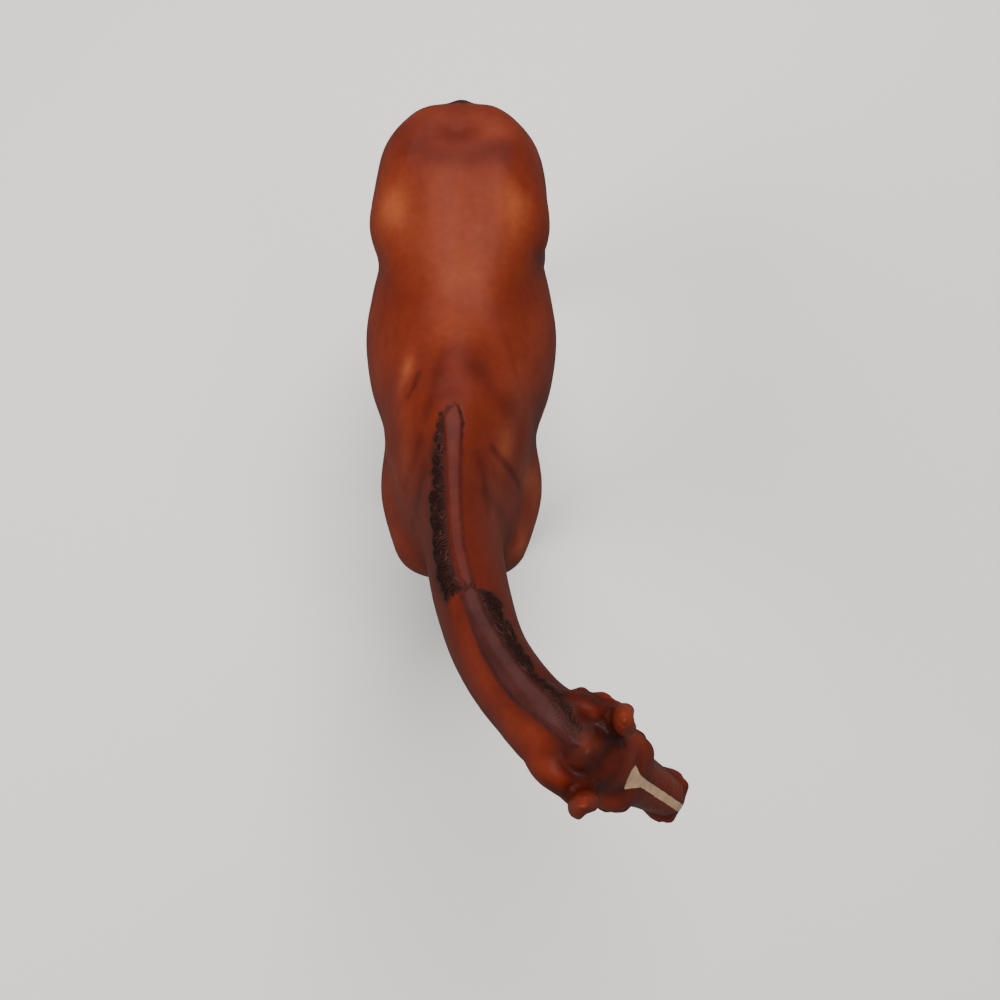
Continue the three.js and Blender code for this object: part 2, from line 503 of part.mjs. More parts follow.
// Evens out the triangles: each vertex moves to the middle of its neighbours and back to the surface.
function relax({ positions, triangles }, field, rounds) {
  const P = Float64Array.from(positions);
  const count = P.length / 3;
  for (let round = 0; round < rounds; round++) {
    const sum = new Float64Array(P.length);
    const normal = new Float64Array(P.length);
    const share = new Float64Array(count);
    for (let t = 0; t < triangles.length; t += 3) {
      const [a, b, c] = [3 * triangles[t], 3 * triangles[t + 1], 3 * triangles[t + 2]];
      const [ux, uy, uz] = [P[b] - P[a], P[b + 1] - P[a + 1], P[b + 2] - P[a + 2]];
      const [vx, vy, vz] = [P[c] - P[a], P[c + 1] - P[a + 1], P[c + 2] - P[a + 2]];
      const n = [uy * vz - uz * vy, uz * vx - ux * vz, ux * vy - uy * vx];
      for (const v of [a, b, c]) {
        for (let i = 0; i < 3; i++) {
          normal[v + i] += n[i];
          sum[v + i] += P[a + i] + P[b + i] + P[c + i] - P[v + i];
        }
        share[v / 3] += 2;
      }
    }
    for (let v = 0; v < count; v++) {
      const k = 3 * v;
      const size = Math.hypot(normal[k], normal[k + 1], normal[k + 2]) || 1;
      for (let i = 0; i < 3; i++) P[k + i] += 0.8 * (sum[k + i] / share[v] - P[k + i]);
      const off = Math.max(-1, Math.min(1, field(P[k], P[k + 1], P[k + 2])));
      for (let i = 0; i < 3; i++) P[k + i] -= (off * normal[k + i]) / size;
    }
  }
  return { positions: P, triangles };
}

// Thins a mesh to a number of triangles by closing its edges one at a time, the one that changes the
// surface least first. The head counts for more than the trunk, so it keeps smaller triangles.
const DETAIL = (x, y, z) => {
  const toPoll = Math.hypot(x - POLL[0], y - POLL[1], z - POLL[2]);
  return 1 + 9 * (1 - THREE.MathUtils.smoothstep(toPoll, 45, 95)) + (z < 30 ? 2 : 0);
};

function thin({ positions, triangles }, target) {
  const count = positions.length / 3;
  const P = Float64Array.from(positions);
  const T = Int32Array.from(triangles);
  const Q = new Float64Array(count * 10);
  const around = Array.from({ length: count }, () => []);
  const cross = (a, b, c, out) => {
    const [ux, uy, uz] = [b[0] - a[0], b[1] - a[1], b[2] - a[2]];
    const [vx, vy, vz] = [c[0] - a[0], c[1] - a[1], c[2] - a[2]];
    out[0] = uy * vz - uz * vy;
    out[1] = uz * vx - ux * vz;
    out[2] = ux * vy - uy * vx;
    return Math.hypot(out[0], out[1], out[2]);
  };
  const at = (v) => [P[3 * v], P[3 * v + 1], P[3 * v + 2]];
  const n = [0, 0, 0];
  for (let t = 0; t < T.length; t += 3) {
    const a = at(T[t]);
    const area = cross(a, at(T[t + 1]), at(T[t + 2]), n);
    for (let i = 0; i < 3; i++) around[T[t + i]].push(t);
    if (area < 1e-12) continue;
    const [nx, ny, nz] = n.map((v) => v / area);
    const d = -(nx * a[0] + ny * a[1] + nz * a[2]);
    const w = area * DETAIL(...a);
    const q = [nx * nx, nx * ny, nx * nz, nx * d, ny * ny, ny * nz, ny * d, nz * nz, nz * d, d * d];
    for (let i = 0; i < 3; i++) q.forEach((v, j) => { Q[10 * T[t + i] + j] += w * v; });
  }
  const errorAt = (q, x, y, z) => q[0] * x * x + q[4] * y * y + q[7] * z * z
    + 2 * (q[1] * x * y + q[2] * x * z + q[5] * y * z + q[3] * x + q[6] * y + q[8] * z) + q[9];
  const version = new Int32Array(count);
  const gone = new Uint8Array(count);
  // A heap of candidate edges, cheapest first.
  const heap = [];
  const push = (item) => {
    let i = heap.push(item) - 1;
    while (i > 0) {
      const up = (i - 1) >> 1;
      if (heap[up].cost <= item.cost) break;
      heap[i] = heap[up];
      i = up;
    }
    heap[i] = item;
  };
  const pop = () => {
    const top = heap[0];
    const item = heap.pop();
    if (heap.length === 0) return top;
    let i = 0;
    for (;;) {
      let child = 2 * i + 1;
      if (child >= heap.length) break;
      if (child + 1 < heap.length && heap[child + 1].cost < heap[child].cost) child += 1;
      if (heap[child].cost >= item.cost) break;
      heap[i] = heap[child];
      i = child;
    }
    heap[i] = item;
    return top;
  };
  const offer = (a, b) => {
    const q = new Float64Array(10);
    for (let j = 0; j < 10; j++) q[j] = Q[10 * a + j] + Q[10 * b + j];
    const [pa, pb] = [at(a), at(b)];
    const middle = pa.map((v, i) => (v + pb[i]) / 2);
    const long = Math.hypot(...pa.map((v, i) => v - pb[i]));
    const det = q[0] * (q[4] * q[7] - q[5] * q[5]) - q[1] * (q[1] * q[7] - q[5] * q[2])
      + q[2] * (q[1] * q[5] - q[4] * q[2]);
    const choices = [middle, pa, pb];
    if (Math.abs(det) > 1e-8 * (q[0] + q[4] + q[7]) ** 3) {
      const [r0, r1, r2] = [-q[3], -q[6], -q[8]];
      const [m0, m1, m2] = [q[4] * q[7] - q[5] * q[5], q[1] * q[7] - q[5] * q[2], q[1] * q[5] - q[4] * q[2]];
      const [s0, s1, s2] = [r1 * q[7] - q[5] * r2, r1 * q[5] - q[4] * r2, q[1] * r2 - r1 * q[2]];
      const best = [
        (r0 * m0 - q[1] * s0 + q[2] * s1) / det,
        (q[0] * s0 - r0 * m1 + q[2] * s2) / det,
        (-q[0] * s1 - q[1] * s2 + r0 * m2) / det,
      ];
      if (Math.hypot(...best.map((v, i) => v - middle[i])) < 0.5 * long) choices.unshift(best);
    }
    const errors = choices.map((p) => errorAt(q, ...p));
    const k = errors.indexOf(Math.min(...errors));
    const place = choices[k];
    const cost = Math.max(0, errors[k]) + 2e-4 * long ** 4 * DETAIL(...middle);
    push({ cost, a, b, place, stamp: version[a] + version[b] });
  };
  const neighbours = (v) => {
    const set = new Set();
    for (const t of around[v]) {
      for (const u of T.subarray(t, t + 3)) set.add(u);
    }
    set.delete(v);
    return set;
  };
  const longest = (corners) => Math.max(...corners.map((p, i) => {
    const q = corners[(i + 1) % 3];
    return Math.hypot(p[0] - q[0], p[1] - q[1], p[2] - q[2]);
  }));
  const staysFacing = (v, other, place) => around[v].every((t) => {
    const c = [T[t], T[t + 1], T[t + 2]];
    if (c.includes(other)) return true;
    const before = [0, 0, 0];
    const after = [0, 0, 0];
    const old = c.map(at);
    const areaOld = cross(old[0], old[1], old[2], before);
    const moved = old.map((p, i) => (c[i] === v ? place : p));
    const areaNew = cross(moved[0], moved[1], moved[2], after);
    const agree = before[0] * after[0] + before[1] * after[1] + before[2] * after[2];
    const [shapeOld, shapeNew] = [areaOld / longest(old) ** 2, areaNew / longest(moved) ** 2];
    const facing = agree > 0.3 * areaOld * areaNew || shapeOld < 0.02;
    return facing && (shapeNew > 0.12 || shapeNew > 0.7 * shapeOld);
  });
  const offerAll = () => {
    for (let t = 0; t < T.length; t += 3) {
      for (let i = 0; T[t] >= 0 && i < 3; i++) {
        const [a, b] = [T[t + i], T[t + ((i + 1) % 3)]];
        if (a < b) offer(a, b);
      }
    }
  };
  let left = T.length / 3;
  let before = Infinity;
  while (left > target) {
    // Edges that were refused get another chance once their surroundings have changed.
    if (heap.length === 0) {
      if (left === before) break;
      before = left;
      offerAll();
      continue;
    }
    const { a, b, place, stamp } = pop();
    if (gone[a] || gone[b] || stamp !== version[a] + version[b]) continue;
    const [na, nb] = [neighbours(a), neighbours(b)];
    if (!na.has(b) || [...na].filter((v) => nb.has(v)).length !== 2) continue;
    if (!staysFacing(a, b, place) || !staysFacing(b, a, place)) continue;
    place.forEach((v, i) => { P[3 * a + i] = v; });
    for (let j = 0; j < 10; j++) Q[10 * a + j] += Q[10 * b + j];
    gone[b] = 1;
    for (const t of around[b]) {
      if (T[t] === a || T[t + 1] === a || T[t + 2] === a) {
        for (let i = 0; i < 3; i++) {
          const v = T[t + i];
          if (v !== b) around[v] = around[v].filter((u) => u !== t);
        }
        T[t] = -1;
        left -= 1;
      } else {
        for (let i = 0; i < 3; i++) T[t + i] = T[t + i] === b ? a : T[t + i];
        around[a].push(t);
      }
    }
    around[b] = [];
    version[a] += 1;
    for (const v of neighbours(a)) offer(a, v);
  }
  const index = new Map();
  const thinned = { positions: [], triangles: [] };
  for (let t = 0; t < T.length; t += 3) {
    if (T[t] < 0) continue;
    for (let i = 0; i < 3; i++) {
      const v = T[t + i];
      if (!index.has(v)) {
        index.set(v, thinned.positions.length / 3);
        thinned.positions.push(...at(v));
      }
      thinned.triangles.push(index.get(v));
    }
  }
  return thinned;
}

const field = figureField();
const rough = polygonise(field, [-106, -44, -4.5], [186, 88, 232], CELL);
const fine = thin(relax(rough, field, 3), TRIANGLES);

// The soles are cut flat, level with the ground.
const manifold = await Module();
manifold.setup();
const solidOf = (positions, triangles) => new manifold.Manifold(new manifold.Mesh({
  numProp: 3,
  vertProperties: new Float32Array(positions),
  triVerts: new Uint32Array(triangles),
}));
const under = new THREE.BoxGeometry(400, 400, 60).translate(0, 0, -30);
under.deleteAttribute("normal");
under.deleteAttribute("uv");
const underBox = mergeVertices(under);
const cut = solidOf(fine.positions, fine.triangles)
  .subtract(solidOf(underBox.attributes.position.array, underBox.index.array))
  .getMesh();

const geometry = new THREE.BufferGeometry();
geometry.setAttribute("position", new THREE.Float32BufferAttribute(cut.vertProperties, 3));
geometry.setIndex(Array.from(cut.triVerts));
// The figure faces -Y with its left side towards +X, and stands over the middle of its own bounds.
geometry.applyMatrix4(new THREE.Matrix4().set(0, 1, 0, 0, -1, 0, 0, 0, 0, 0, 1, 0, 0, 0, 0, 1));
geometry.computeBoundingBox();
const middle = geometry.boundingBox.getCenter(new THREE.Vector3());
geometry.translate(-middle.x, -middle.y, 0);
geometry.scale(...[1, 1, 1].map((v) => (v * WITHERS_HEIGHT) / DRAWN_HEIGHT));
geometry.computeVertexNormals();

const plastic = new THREE.MeshStandardMaterial({ color: 0x8a3a1c, roughness: 0.4, metalness: 0 });
const horse = new THREE.Mesh(geometry, plastic);
horse.name = "horse";
const figure = new THREE.Group();
figure.add(horse);
export default figure;
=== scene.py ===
# %% [markdown]
# # A moulded horse figurine
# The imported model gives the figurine's true size and form as about ten thousand flat triangles. This
# script keeps that form and makes the finished skin from it: a finer grid, the carving of the face,
# the hair and the hooves, and the airbrushed satin paint.

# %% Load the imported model
import json
import math

import bpy
import numpy as np
from mathutils import Matrix, Vector

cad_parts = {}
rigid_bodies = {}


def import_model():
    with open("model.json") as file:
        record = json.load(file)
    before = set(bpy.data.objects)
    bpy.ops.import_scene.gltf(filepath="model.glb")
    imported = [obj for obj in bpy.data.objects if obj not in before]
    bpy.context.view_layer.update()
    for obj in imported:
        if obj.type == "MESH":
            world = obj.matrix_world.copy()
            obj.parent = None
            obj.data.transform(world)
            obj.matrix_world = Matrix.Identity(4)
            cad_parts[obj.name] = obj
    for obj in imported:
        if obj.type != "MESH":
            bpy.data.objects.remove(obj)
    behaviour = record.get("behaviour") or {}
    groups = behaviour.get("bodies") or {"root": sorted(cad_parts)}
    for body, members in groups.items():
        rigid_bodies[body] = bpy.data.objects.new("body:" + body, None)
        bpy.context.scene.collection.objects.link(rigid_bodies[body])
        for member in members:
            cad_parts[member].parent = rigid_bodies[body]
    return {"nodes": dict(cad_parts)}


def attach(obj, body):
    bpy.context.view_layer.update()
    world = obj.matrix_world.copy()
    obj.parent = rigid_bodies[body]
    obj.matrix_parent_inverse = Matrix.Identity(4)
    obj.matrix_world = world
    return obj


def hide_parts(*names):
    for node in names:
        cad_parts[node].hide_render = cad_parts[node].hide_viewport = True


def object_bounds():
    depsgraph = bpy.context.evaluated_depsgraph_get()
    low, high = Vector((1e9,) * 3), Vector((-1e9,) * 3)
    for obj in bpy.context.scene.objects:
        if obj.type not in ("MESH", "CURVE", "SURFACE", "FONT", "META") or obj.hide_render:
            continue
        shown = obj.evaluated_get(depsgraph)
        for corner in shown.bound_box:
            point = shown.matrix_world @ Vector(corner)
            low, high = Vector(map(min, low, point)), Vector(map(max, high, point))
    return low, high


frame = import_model()
solid = frame["nodes"]["horse"]
cad_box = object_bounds()
print("model box, mm:", [[round(1000 * v, 1) for v in corner] for corner in cad_box])

# %% [markdown]
# ## The camera
# The figurine is seen from above and a little in front, nearly from over its head. The camera is
# placed by its own axes, because a point to look at would not fix the tilt of the picture.

# %% Camera
CAMERA_PLACE = (-0.00176, -0.10147, 0.4018)
PICTURE_RIGHT = Vector((0.99998, 0.0, -0.00631))
PICTURE_DOWN = Vector((-0.00162, -0.96654, -0.25652))
LOOKING_ALONG = Vector((-0.0061, 0.25652, -0.96652))
camera_data = bpy.data.cameras.new("camera")
camera_data.lens = 27.07
camera_data.sensor_width = 36
camera_data.clip_start = 0.01
camera = bpy.data.objects.new("camera", camera_data)
turned = Matrix((PICTURE_RIGHT, -PICTURE_DOWN, -LOOKING_ALONG)).transposed()
camera.matrix_world = Matrix.Translation(CAMERA_PLACE) @ turned.to_4x4()
bpy.context.scene.collection.objects.link(camera)
bpy.context.scene.camera = camera
print("camera stands", round(1000 * camera.location.z), "mm above the floor")

# %% [markdown]
# ## Floor and light
# A plain pale floor and soft lamps are enough for a satin finish. Two strong lamps light the paint, a
# very large one gives the long soft sheen along the back, and a small one the few sharp glints. The
# floor is a stage piece, so it isn't part of the figurine, and it doesn't show in the gloss, which
# would turn the reds pale.

# %% Floor
FLOOR_COLOUR = (0.8, 0.785, 0.765, 1)


def deselect_all():
    if bpy.context.object and bpy.context.object.mode != "OBJECT":
        bpy.ops.object.mode_set(mode="OBJECT")
    bpy.ops.object.select_all(action="DESELECT")


def nodes_of(material):
    material.use_nodes = True
    return material.node_tree.nodes, material.node_tree.links


deselect_all()
bpy.ops.mesh.primitive_plane_add(size=6, location=(0, 0, 0))
floor = bpy.context.object
floor.name = "floor"
floor_paint = bpy.data.materials.new("pale_floor")
nodes, links = nodes_of(floor_paint)
nodes["Principled BSDF"].inputs["Base Color"].default_value = FLOOR_COLOUR
nodes["Principled BSDF"].inputs["Roughness"].default_value = 0.75
floor.data.materials.append(floor_paint)
floor.visible_glossy = False
print("floor:", round(floor.dimensions.x), "m wide")

# %% Lamps
def soft_lamp(name, place, aim, size, watts, colour):
    data = bpy.data.lights.new(name, "AREA")
    data.shape = "DISK"
    data.size = size
    data.energy = watts
    data.color = colour
    lamp = bpy.data.objects.new(name, data)
    lamp.location = place
    lamp.rotation_euler = (Vector(aim) - Vector(place)).to_track_quat("-Z", "Y").to_euler()
    bpy.context.scene.collection.objects.link(lamp)
    return lamp


# The two strong lamps give light without showing as a reflection, which would turn the deep red pale.
for lamp in (
    soft_lamp("ceiling", (0.15, 0.45, 1.3), (0, 0, 0.1), 0.9, 24, (1.0, 0.98, 0.95)),
    soft_lamp("window", (-1.1, -0.4, 0.9), (0, 0, 0.1), 0.9, 15, (0.95, 0.97, 1.0)),
):
    lamp.visible_glossy = False
soft_lamp("sheen", (0.0, 0.8, 1.15), (0, 0, 0.15), 1.9, 5.2, (1.0, 0.95, 0.92))
soft_lamp("glint", (0.55, -0.5, 0.9), (0, 0, 0.14), 0.2, 1.2, (1.0, 0.98, 0.95))
room = bpy.data.worlds.new("room")
room.use_nodes = True
room.node_tree.nodes["Background"].inputs["Color"].default_value = (0.88, 0.85, 0.80, 1)
room.node_tree.nodes["Background"].inputs["Strength"].default_value = 0.15
bpy.context.scene.world = room
print("lamps:", len(bpy.data.lights))

# %% [markdown]
# ## The skin
# The figurine is one moulding, so its skin is one closed mesh. A primitive can't give the shape of
# an animal, so this piece is made another way: a copy of the model's own mesh is merged and turned
# into an even grid of small squares, which can be smoothed and carved like clay.

# %% Copy, merge and regrid the model's mesh
GRID = 0.0018
MERGE = 1e-6
skin = bpy.data.objects.new("moulded_horse", solid.data.copy())
bpy.context.scene.collection.objects.link(skin)
skin.data.materials.clear()


def pick(obj):
    deselect_all()
    obj.select_set(True)
    bpy.context.view_layer.objects.active = obj


def apply_modifier(obj, kind, **settings):
    modifier = obj.modifiers.new(kind.title(), kind)
    for name, value in settings.items():
        setattr(modifier, name, value)
    bpy.ops.object.modifier_apply(modifier=modifier.name)


pick(skin)
bpy.ops.object.mode_set(mode="EDIT")
bpy.ops.mesh.select_all(action="SELECT")
bpy.ops.mesh.remove_doubles(threshold=MERGE)
bpy.ops.object.mode_set(mode="OBJECT")
if skin.data.has_custom_normals:
    bpy.ops.mesh.customdata_custom_splitnormals_clear()
apply_modifier(skin, "SUBSURF", levels=2, render_levels=2)
apply_modifier(skin, "REMESH", mode="VOXEL", voxel_size=GRID)
print("even grid:", len(skin.data.polygons), "squares")

# %% [markdown]
# ## Measuring on the figurine
# Carving needs places, so every vertex is measured three ways in millimetres: forward, left and up
# on the whole figurine; down, across and out of the face on the head, which is turned and lowered;
# and along a curve such as the crest of the neck.

# %% Places on the body and on the head
MIDDLE_LEFT, MIDDLE_FORWARD = 18.463, 36.635
POLL = np.array([151.0, 38.0, 207.0])
TURN, DROP, HEAD_SIZE = math.radians(61), math.radians(50.5), 1.05
AHEAD = np.array([math.cos(TURN), math.sin(TURN), 0])
DOWN_FACE = np.append(AHEAD[:2] * math.cos(DROP), -math.sin(DROP))
ACROSS = np.array([-math.sin(TURN), math.cos(TURN), 0])
OUT_OF_FACE = np.append(AHEAD[:2] * math.sin(DROP), math.cos(DROP))
HEAD_AXES = np.array([DOWN_FACE, ACROSS, OUT_OF_FACE])


def read(obj, what="co"):
    values = np.empty(len(obj.data.vertices) * 3)
    obj.data.vertices.foreach_get(what, values)
    return values.reshape(-1, 3)


def on_figure(obj):
    x, y, z = read(obj).T * 1000
    return np.column_stack((MIDDLE_FORWARD - y, x + MIDDLE_LEFT, z))


def write(obj, places):
    f, l, u = places.T
    rows = np.column_stack((l - MIDDLE_LEFT, MIDDLE_FORWARD - f, u)) / 1000
    obj.data.vertices.foreach_set("co", rows.ravel())
    obj.data.update()


def outward(obj):
    x, y, z = read(obj, "normal").T
    return np.column_stack((-y, x, z))


def on_head(places):
    return (places - POLL) @ HEAD_AXES.T / HEAD_SIZE


def from_head(places):
    return POLL + HEAD_SIZE * (np.asarray(places, float) @ HEAD_AXES)


at = on_figure(skin)
head = on_head(at)
print("head reaches", round(float(head[:, 0].max()), 1), "mm down the face")

# %% Soft steps, humps and limits
MANE_BOTTOM, TAIL_TIP, HOOF_TOP = 150, 36, 14


def ramp(values, start, end):
    """0 before the start and 1 after the end, with a soft step between them."""
    t = np.clip((np.asarray(values, float) - start) / (end - start), 0, 1)
    return t * t * (3 - 2 * t)


def hump(values, middle, wide):
    """1 at the middle, falling away softly to both sides."""
    return np.exp(-((values - middle) / wide) ** 2)


def blot(places, middle, reach):
    """1 at the middle, falling away softly all round, with a reach of its own along each axis."""
    return np.exp(-(((places - middle) / reach) ** 2).sum(axis=1))


def beyond(at, forward, up):
    """Whether each place is both further forward and higher than this."""
    return (at[:, 0] > forward) & (at[:, 2] > up)


print("above the bottom of the mane:", int((at[:, 2] > MANE_BOTTOM).sum()), "vertices")

# %% Distance along and from a curve
def smooth_curve(points, pieces=8):
    """A curve through the points, as many short straight pieces."""
    p = np.asarray(points, float)
    p = np.vstack((2 * p[0] - p[1], p, 2 * p[-1] - p[-2]))
    rows = []
    for i in range(1, len(p) - 2):
        for t in np.arange(pieces) / pieces:
            a, b, c, d = p[i - 1:i + 3]
            rows.append(0.5 * (2 * b + (c - a) * t + (2 * a - 5 * b + 4 * c - d) * t * t
                               + (3 * b - a - 3 * c + d) * t ** 3))
    return np.vstack((rows, p[-2]))


def follow(at, curve):
    """For each place: its distance from the curve, how far along it lies (0 to 1), how far to the left
    of it, the nearest point, and the way the curve runs there."""
    best = np.full(len(at), 1e9)
    along = np.zeros(len(at))
    nearest, heading = np.zeros_like(at), np.zeros_like(at)
    run = 0.0
    for a, b in zip(curve[:-1], curve[1:]):
        step = b - a
        length = np.linalg.norm(step)
        t = np.clip((at - a) @ step / length ** 2, 0, 1)
        foot = a + t[:, None] * step
        gap = np.linalg.norm(at - foot, axis=1)
        closer = gap < best
        best[closer] = gap[closer]
        along[closer] = run + t[closer] * length
        nearest[closer] = foot[closer]
        heading[closer] = step / length
        run += length
    sideways = (at - nearest)[:, 1] * heading[:, 0] - (at - nearest)[:, 0] * heading[:, 1]
    sideways /= np.maximum(np.hypot(heading[:, 0], heading[:, 1]), 1e-6)
    return best, along / run, sideways, nearest, heading


CREST = smooth_curve([
    (44, 0, 177), (52, 0.2, 180), (66, 0.8, 182.5), (82, 2, 186.8), (97, 4.2, 191.8), (110, 7.6, 196.8),
    (124, 13.6, 202.8), (135, 21.4, 207.2), (143, 29.4, 209.5), (150, 36.5, 210),
])
TAIL = smooth_curve([
    (-72, 0, 164), (-82, 0, 159.5), (-90, 0, 149), (-94.5, 0, 130), (-96, 0, 105), (-95, 0, 80),
    (-92.5, 0, 58), (-90, 0, 40),
])
PARTS_AT = 0.561  # where the mane changes sides, as a share of the crest
print("crest", round(float(np.linalg.norm(np.diff(CREST, axis=0), axis=1).sum())), "mm long")

# %% [markdown]
# ## Fairing
# The model's flat triangles still show in the grid. The Smooth modifier takes them out, but alone it
# would also shrink the legs and ears. So each smoothing step is followed by a slightly stronger step
# the other way, which brings the size back and leaves only the small bumps smoothed. The head and
# the hooves are held back, because their forms are small. The model's coarse locks of hair are then
# taken down to a plain thickness, on which the fine locks are carved.

# %% Fair the whole skin
THERE_AND_BACK = (1.0, -1.06)
GROUP_LEVELS = 20


def paint_group(obj, weights):
    group = obj.vertex_groups.new(name="where")
    levels = np.round(np.clip(weights, 0, 1) * GROUP_LEVELS).astype(int)
    for level in np.unique(levels[levels > 0]):
        group.add(np.flatnonzero(levels == level).tolist(), level / GROUP_LEVELS, "REPLACE")


def apply_where(obj, weights, kind, **settings):
    """Applies a modifier as strongly as the weights, one for each vertex, say."""
    paint_group(obj, weights)
    apply_modifier(obj, kind, vertex_group="where", **settings)
    obj.vertex_groups.remove(obj.vertex_groups["where"])


def fair(obj, weights, rounds):
    paint_group(obj, weights)
    for _ in range(rounds):
        for factor in THERE_AND_BACK:
            apply_modifier(obj, "SMOOTH", factor=factor, iterations=1, vertex_group="where")
    obj.vertex_groups.remove(obj.vertex_groups["where"])


head_weight = ramp(head[:, 0], -24, -10) * beyond(at, 120, 120)
hoof_weight = 1 - ramp(at[:, 2], 11, 15)
fair(skin, 1 - 0.75 * head_weight - hoof_weight, 26)
print("held back:", int((head_weight + hoof_weight > 0.5).sum()), "vertices of the head and hooves")

# %% Smooth the bed of the mane
at = on_figure(skin)
bed = (1 - ramp(follow(at, CREST)[0], 12, 17)) * (1 - head_weight) * (at[:, 2] > MANE_BOTTOM)
apply_where(skin, bed, "SMOOTH", factor=1.0, iterations=5)
print("bed of the mane:", int((bed > 0.5).sum()), "vertices")

# %% [markdown]
# ## Finer squares where the carving is
# Only the head, the hooves, the mane, the tail and a few creases need a finer grid. Their faces are
# chosen by place and subdivided, up to three times at the eyes and the nostrils. The new vertices of
# the head and hooves are then laid back on the model with Shrinkwrap, because the first grid was too
# coarse for the tips of the ears and the edges of the soles.

# %% Subdivide chosen faces
def refine(obj, wanted):
    """Subdivides the faces all of whose corners are wanted, a mask over the vertices."""
    pick(obj)
    polygons = obj.data.polygons
    corners = np.empty(len(obj.data.loops), int)
    obj.data.loops.foreach_get("vertex_index", corners)
    starts = np.empty(len(polygons), int)
    polygons.foreach_get("loop_start", starts)
    chosen = np.minimum.reduceat(wanted[corners].astype(int), starts).astype(bool)
    bpy.ops.object.mode_set(mode="EDIT")
    bpy.ops.mesh.select_mode(type="FACE")
    bpy.ops.mesh.select_all(action="DESELECT")
    bpy.ops.object.mode_set(mode="OBJECT")
    polygons.foreach_set("select", chosen)
    bpy.ops.object.mode_set(mode="EDIT")
    bpy.ops.mesh.subdivide(number_cuts=1)
    bpy.ops.object.mode_set(mode="OBJECT")
    return int(chosen.sum())


print("squares before the subdividing:", len(skin.data.polygons))

# %% Choose the faces by place
CREASES = {  # a line on the figure, how wide, how deep
    "left_shoulder": ([(58.5, 12, 172), (62, 15.5, 168), (64, 19.5, 158), (66, 22.8, 146)], 1.3, 0.55),
    "right_ribs": ([(37.5, -12.2, 173.6), (39.5, -13.8, 172.6), (42, -15.8, 170.5)], 1.0, 0.55),
}
EYE, NOSTRIL, EAR = (23.2, 10.2, -4.9), (61.5, 6.5, -8.5), (-4, 10, 5)


def near(at, centre, reach):
    return np.linalg.norm(at - np.array(centre), axis=1) < reach


def near_creases(at, reach):
    return sum(follow(at, smooth_curve(points))[0] < reach for points, wide, deep in CREASES.values()) > 0


def both_sides(head):
    """The places on the head, with its right side laid over its left."""
    return np.column_stack((head[:, 0], np.abs(head[:, 1]), head[:, 2]))


at = on_figure(skin)
is_head = (on_head(at)[:, 0] > -14) & beyond(at, 120, 130)
is_mane = (follow(at, CREST)[0] < 15) & beyond(at, 42, MANE_BOTTOM)
is_tail = (at[:, 0] < -80) & (at[:, 2] > 38) & (follow(at, TAIL)[0] < 11)
carved = is_head | is_mane | is_tail | near_creases(at, 5) | (at[:, 2] < HOOF_TOP)
print("refined", refine(skin, carved), "faces once")

at = on_figure(skin)
head = both_sides(on_head(at))
gap, along, sideways = follow(at, CREST)[:3]
down = np.where(along < PARTS_AT, -sideways, sideways)
is_mane = (gap < 13.5) & (down > -4) & (at[:, 2] > MANE_BOTTOM) & (along > 0.01)
fine = near(head, EYE, 7) | near(head, NOSTRIL, 8) | near(head, EAR, 10) | is_mane | near_creases(at, 3.5)
print("refined", refine(skin, fine), "faces twice")

head = both_sides(on_head(on_figure(skin)))
print("refined", refine(skin, near(head, EYE, 4.2) | near(head, NOSTRIL, 3.8)), "faces three times")
print("triangles:", sum(len(p.vertices) - 2 for p in skin.data.polygons))

# %% Lay the fine parts back on the model
at = on_figure(skin)
laid_head = ramp(on_head(at)[:, 0], -14, -6) * beyond(at, 120, 130)
laid = np.maximum(laid_head, 1 - ramp(at[:, 2], 10, HOOF_TOP))
apply_where(skin, laid, "SHRINKWRAP", target=solid, wrap_method="NEAREST_SURFACEPOINT")
print("laid back:", int((laid > 0.5).sum()), "vertices")

# %% Fair the fine parts lightly
# The slope of the face is the smoothest place of the head, and the strip along the crest the
# smoothest place of the neck, so both get many more rounds than the rest.
at = on_figure(skin)
head = on_head(at)
soft = ramp(head[:, 0], -24, -14) * beyond(at, 110, 125)
soft = np.maximum(soft, (follow(at, CREST)[0] < 24) & (at[:, 2] > MANE_BOTTOM))
soft = np.maximum(soft, (at[:, 0] < -78) & (at[:, 2] > TAIL_TIP))
fair(skin, soft, 14)
face = ramp(head[:, 0], -1, 4) * (1 - ramp(head[:, 0], 55, 60)) * beyond(at, 125, 130)
fair(skin, face, 60)
bed = (1 - ramp(follow(at, CREST)[0], 4, 7)) * (at[:, 2] > MANE_BOTTOM) * (1 - ramp(head[:, 0], -14, -9))
apply_where(skin, bed, "SMOOTH", factor=1.0, iterations=45)
fair(skin, np.maximum(soft, 0.8 * (at[:, 2] < HOOF_TOP) * (at[:, 2] > 0.6)), 4)
print("highest point:", round(float(read(skin)[:, 2].max()) * 1000, 1), "mm")

# %% [markdown]
# The crest of the neck carries the glossiest paint, where the least unevenness would show. So its
# height round a line inside the neck is fitted by one smooth surface, and the vertices move onto it.

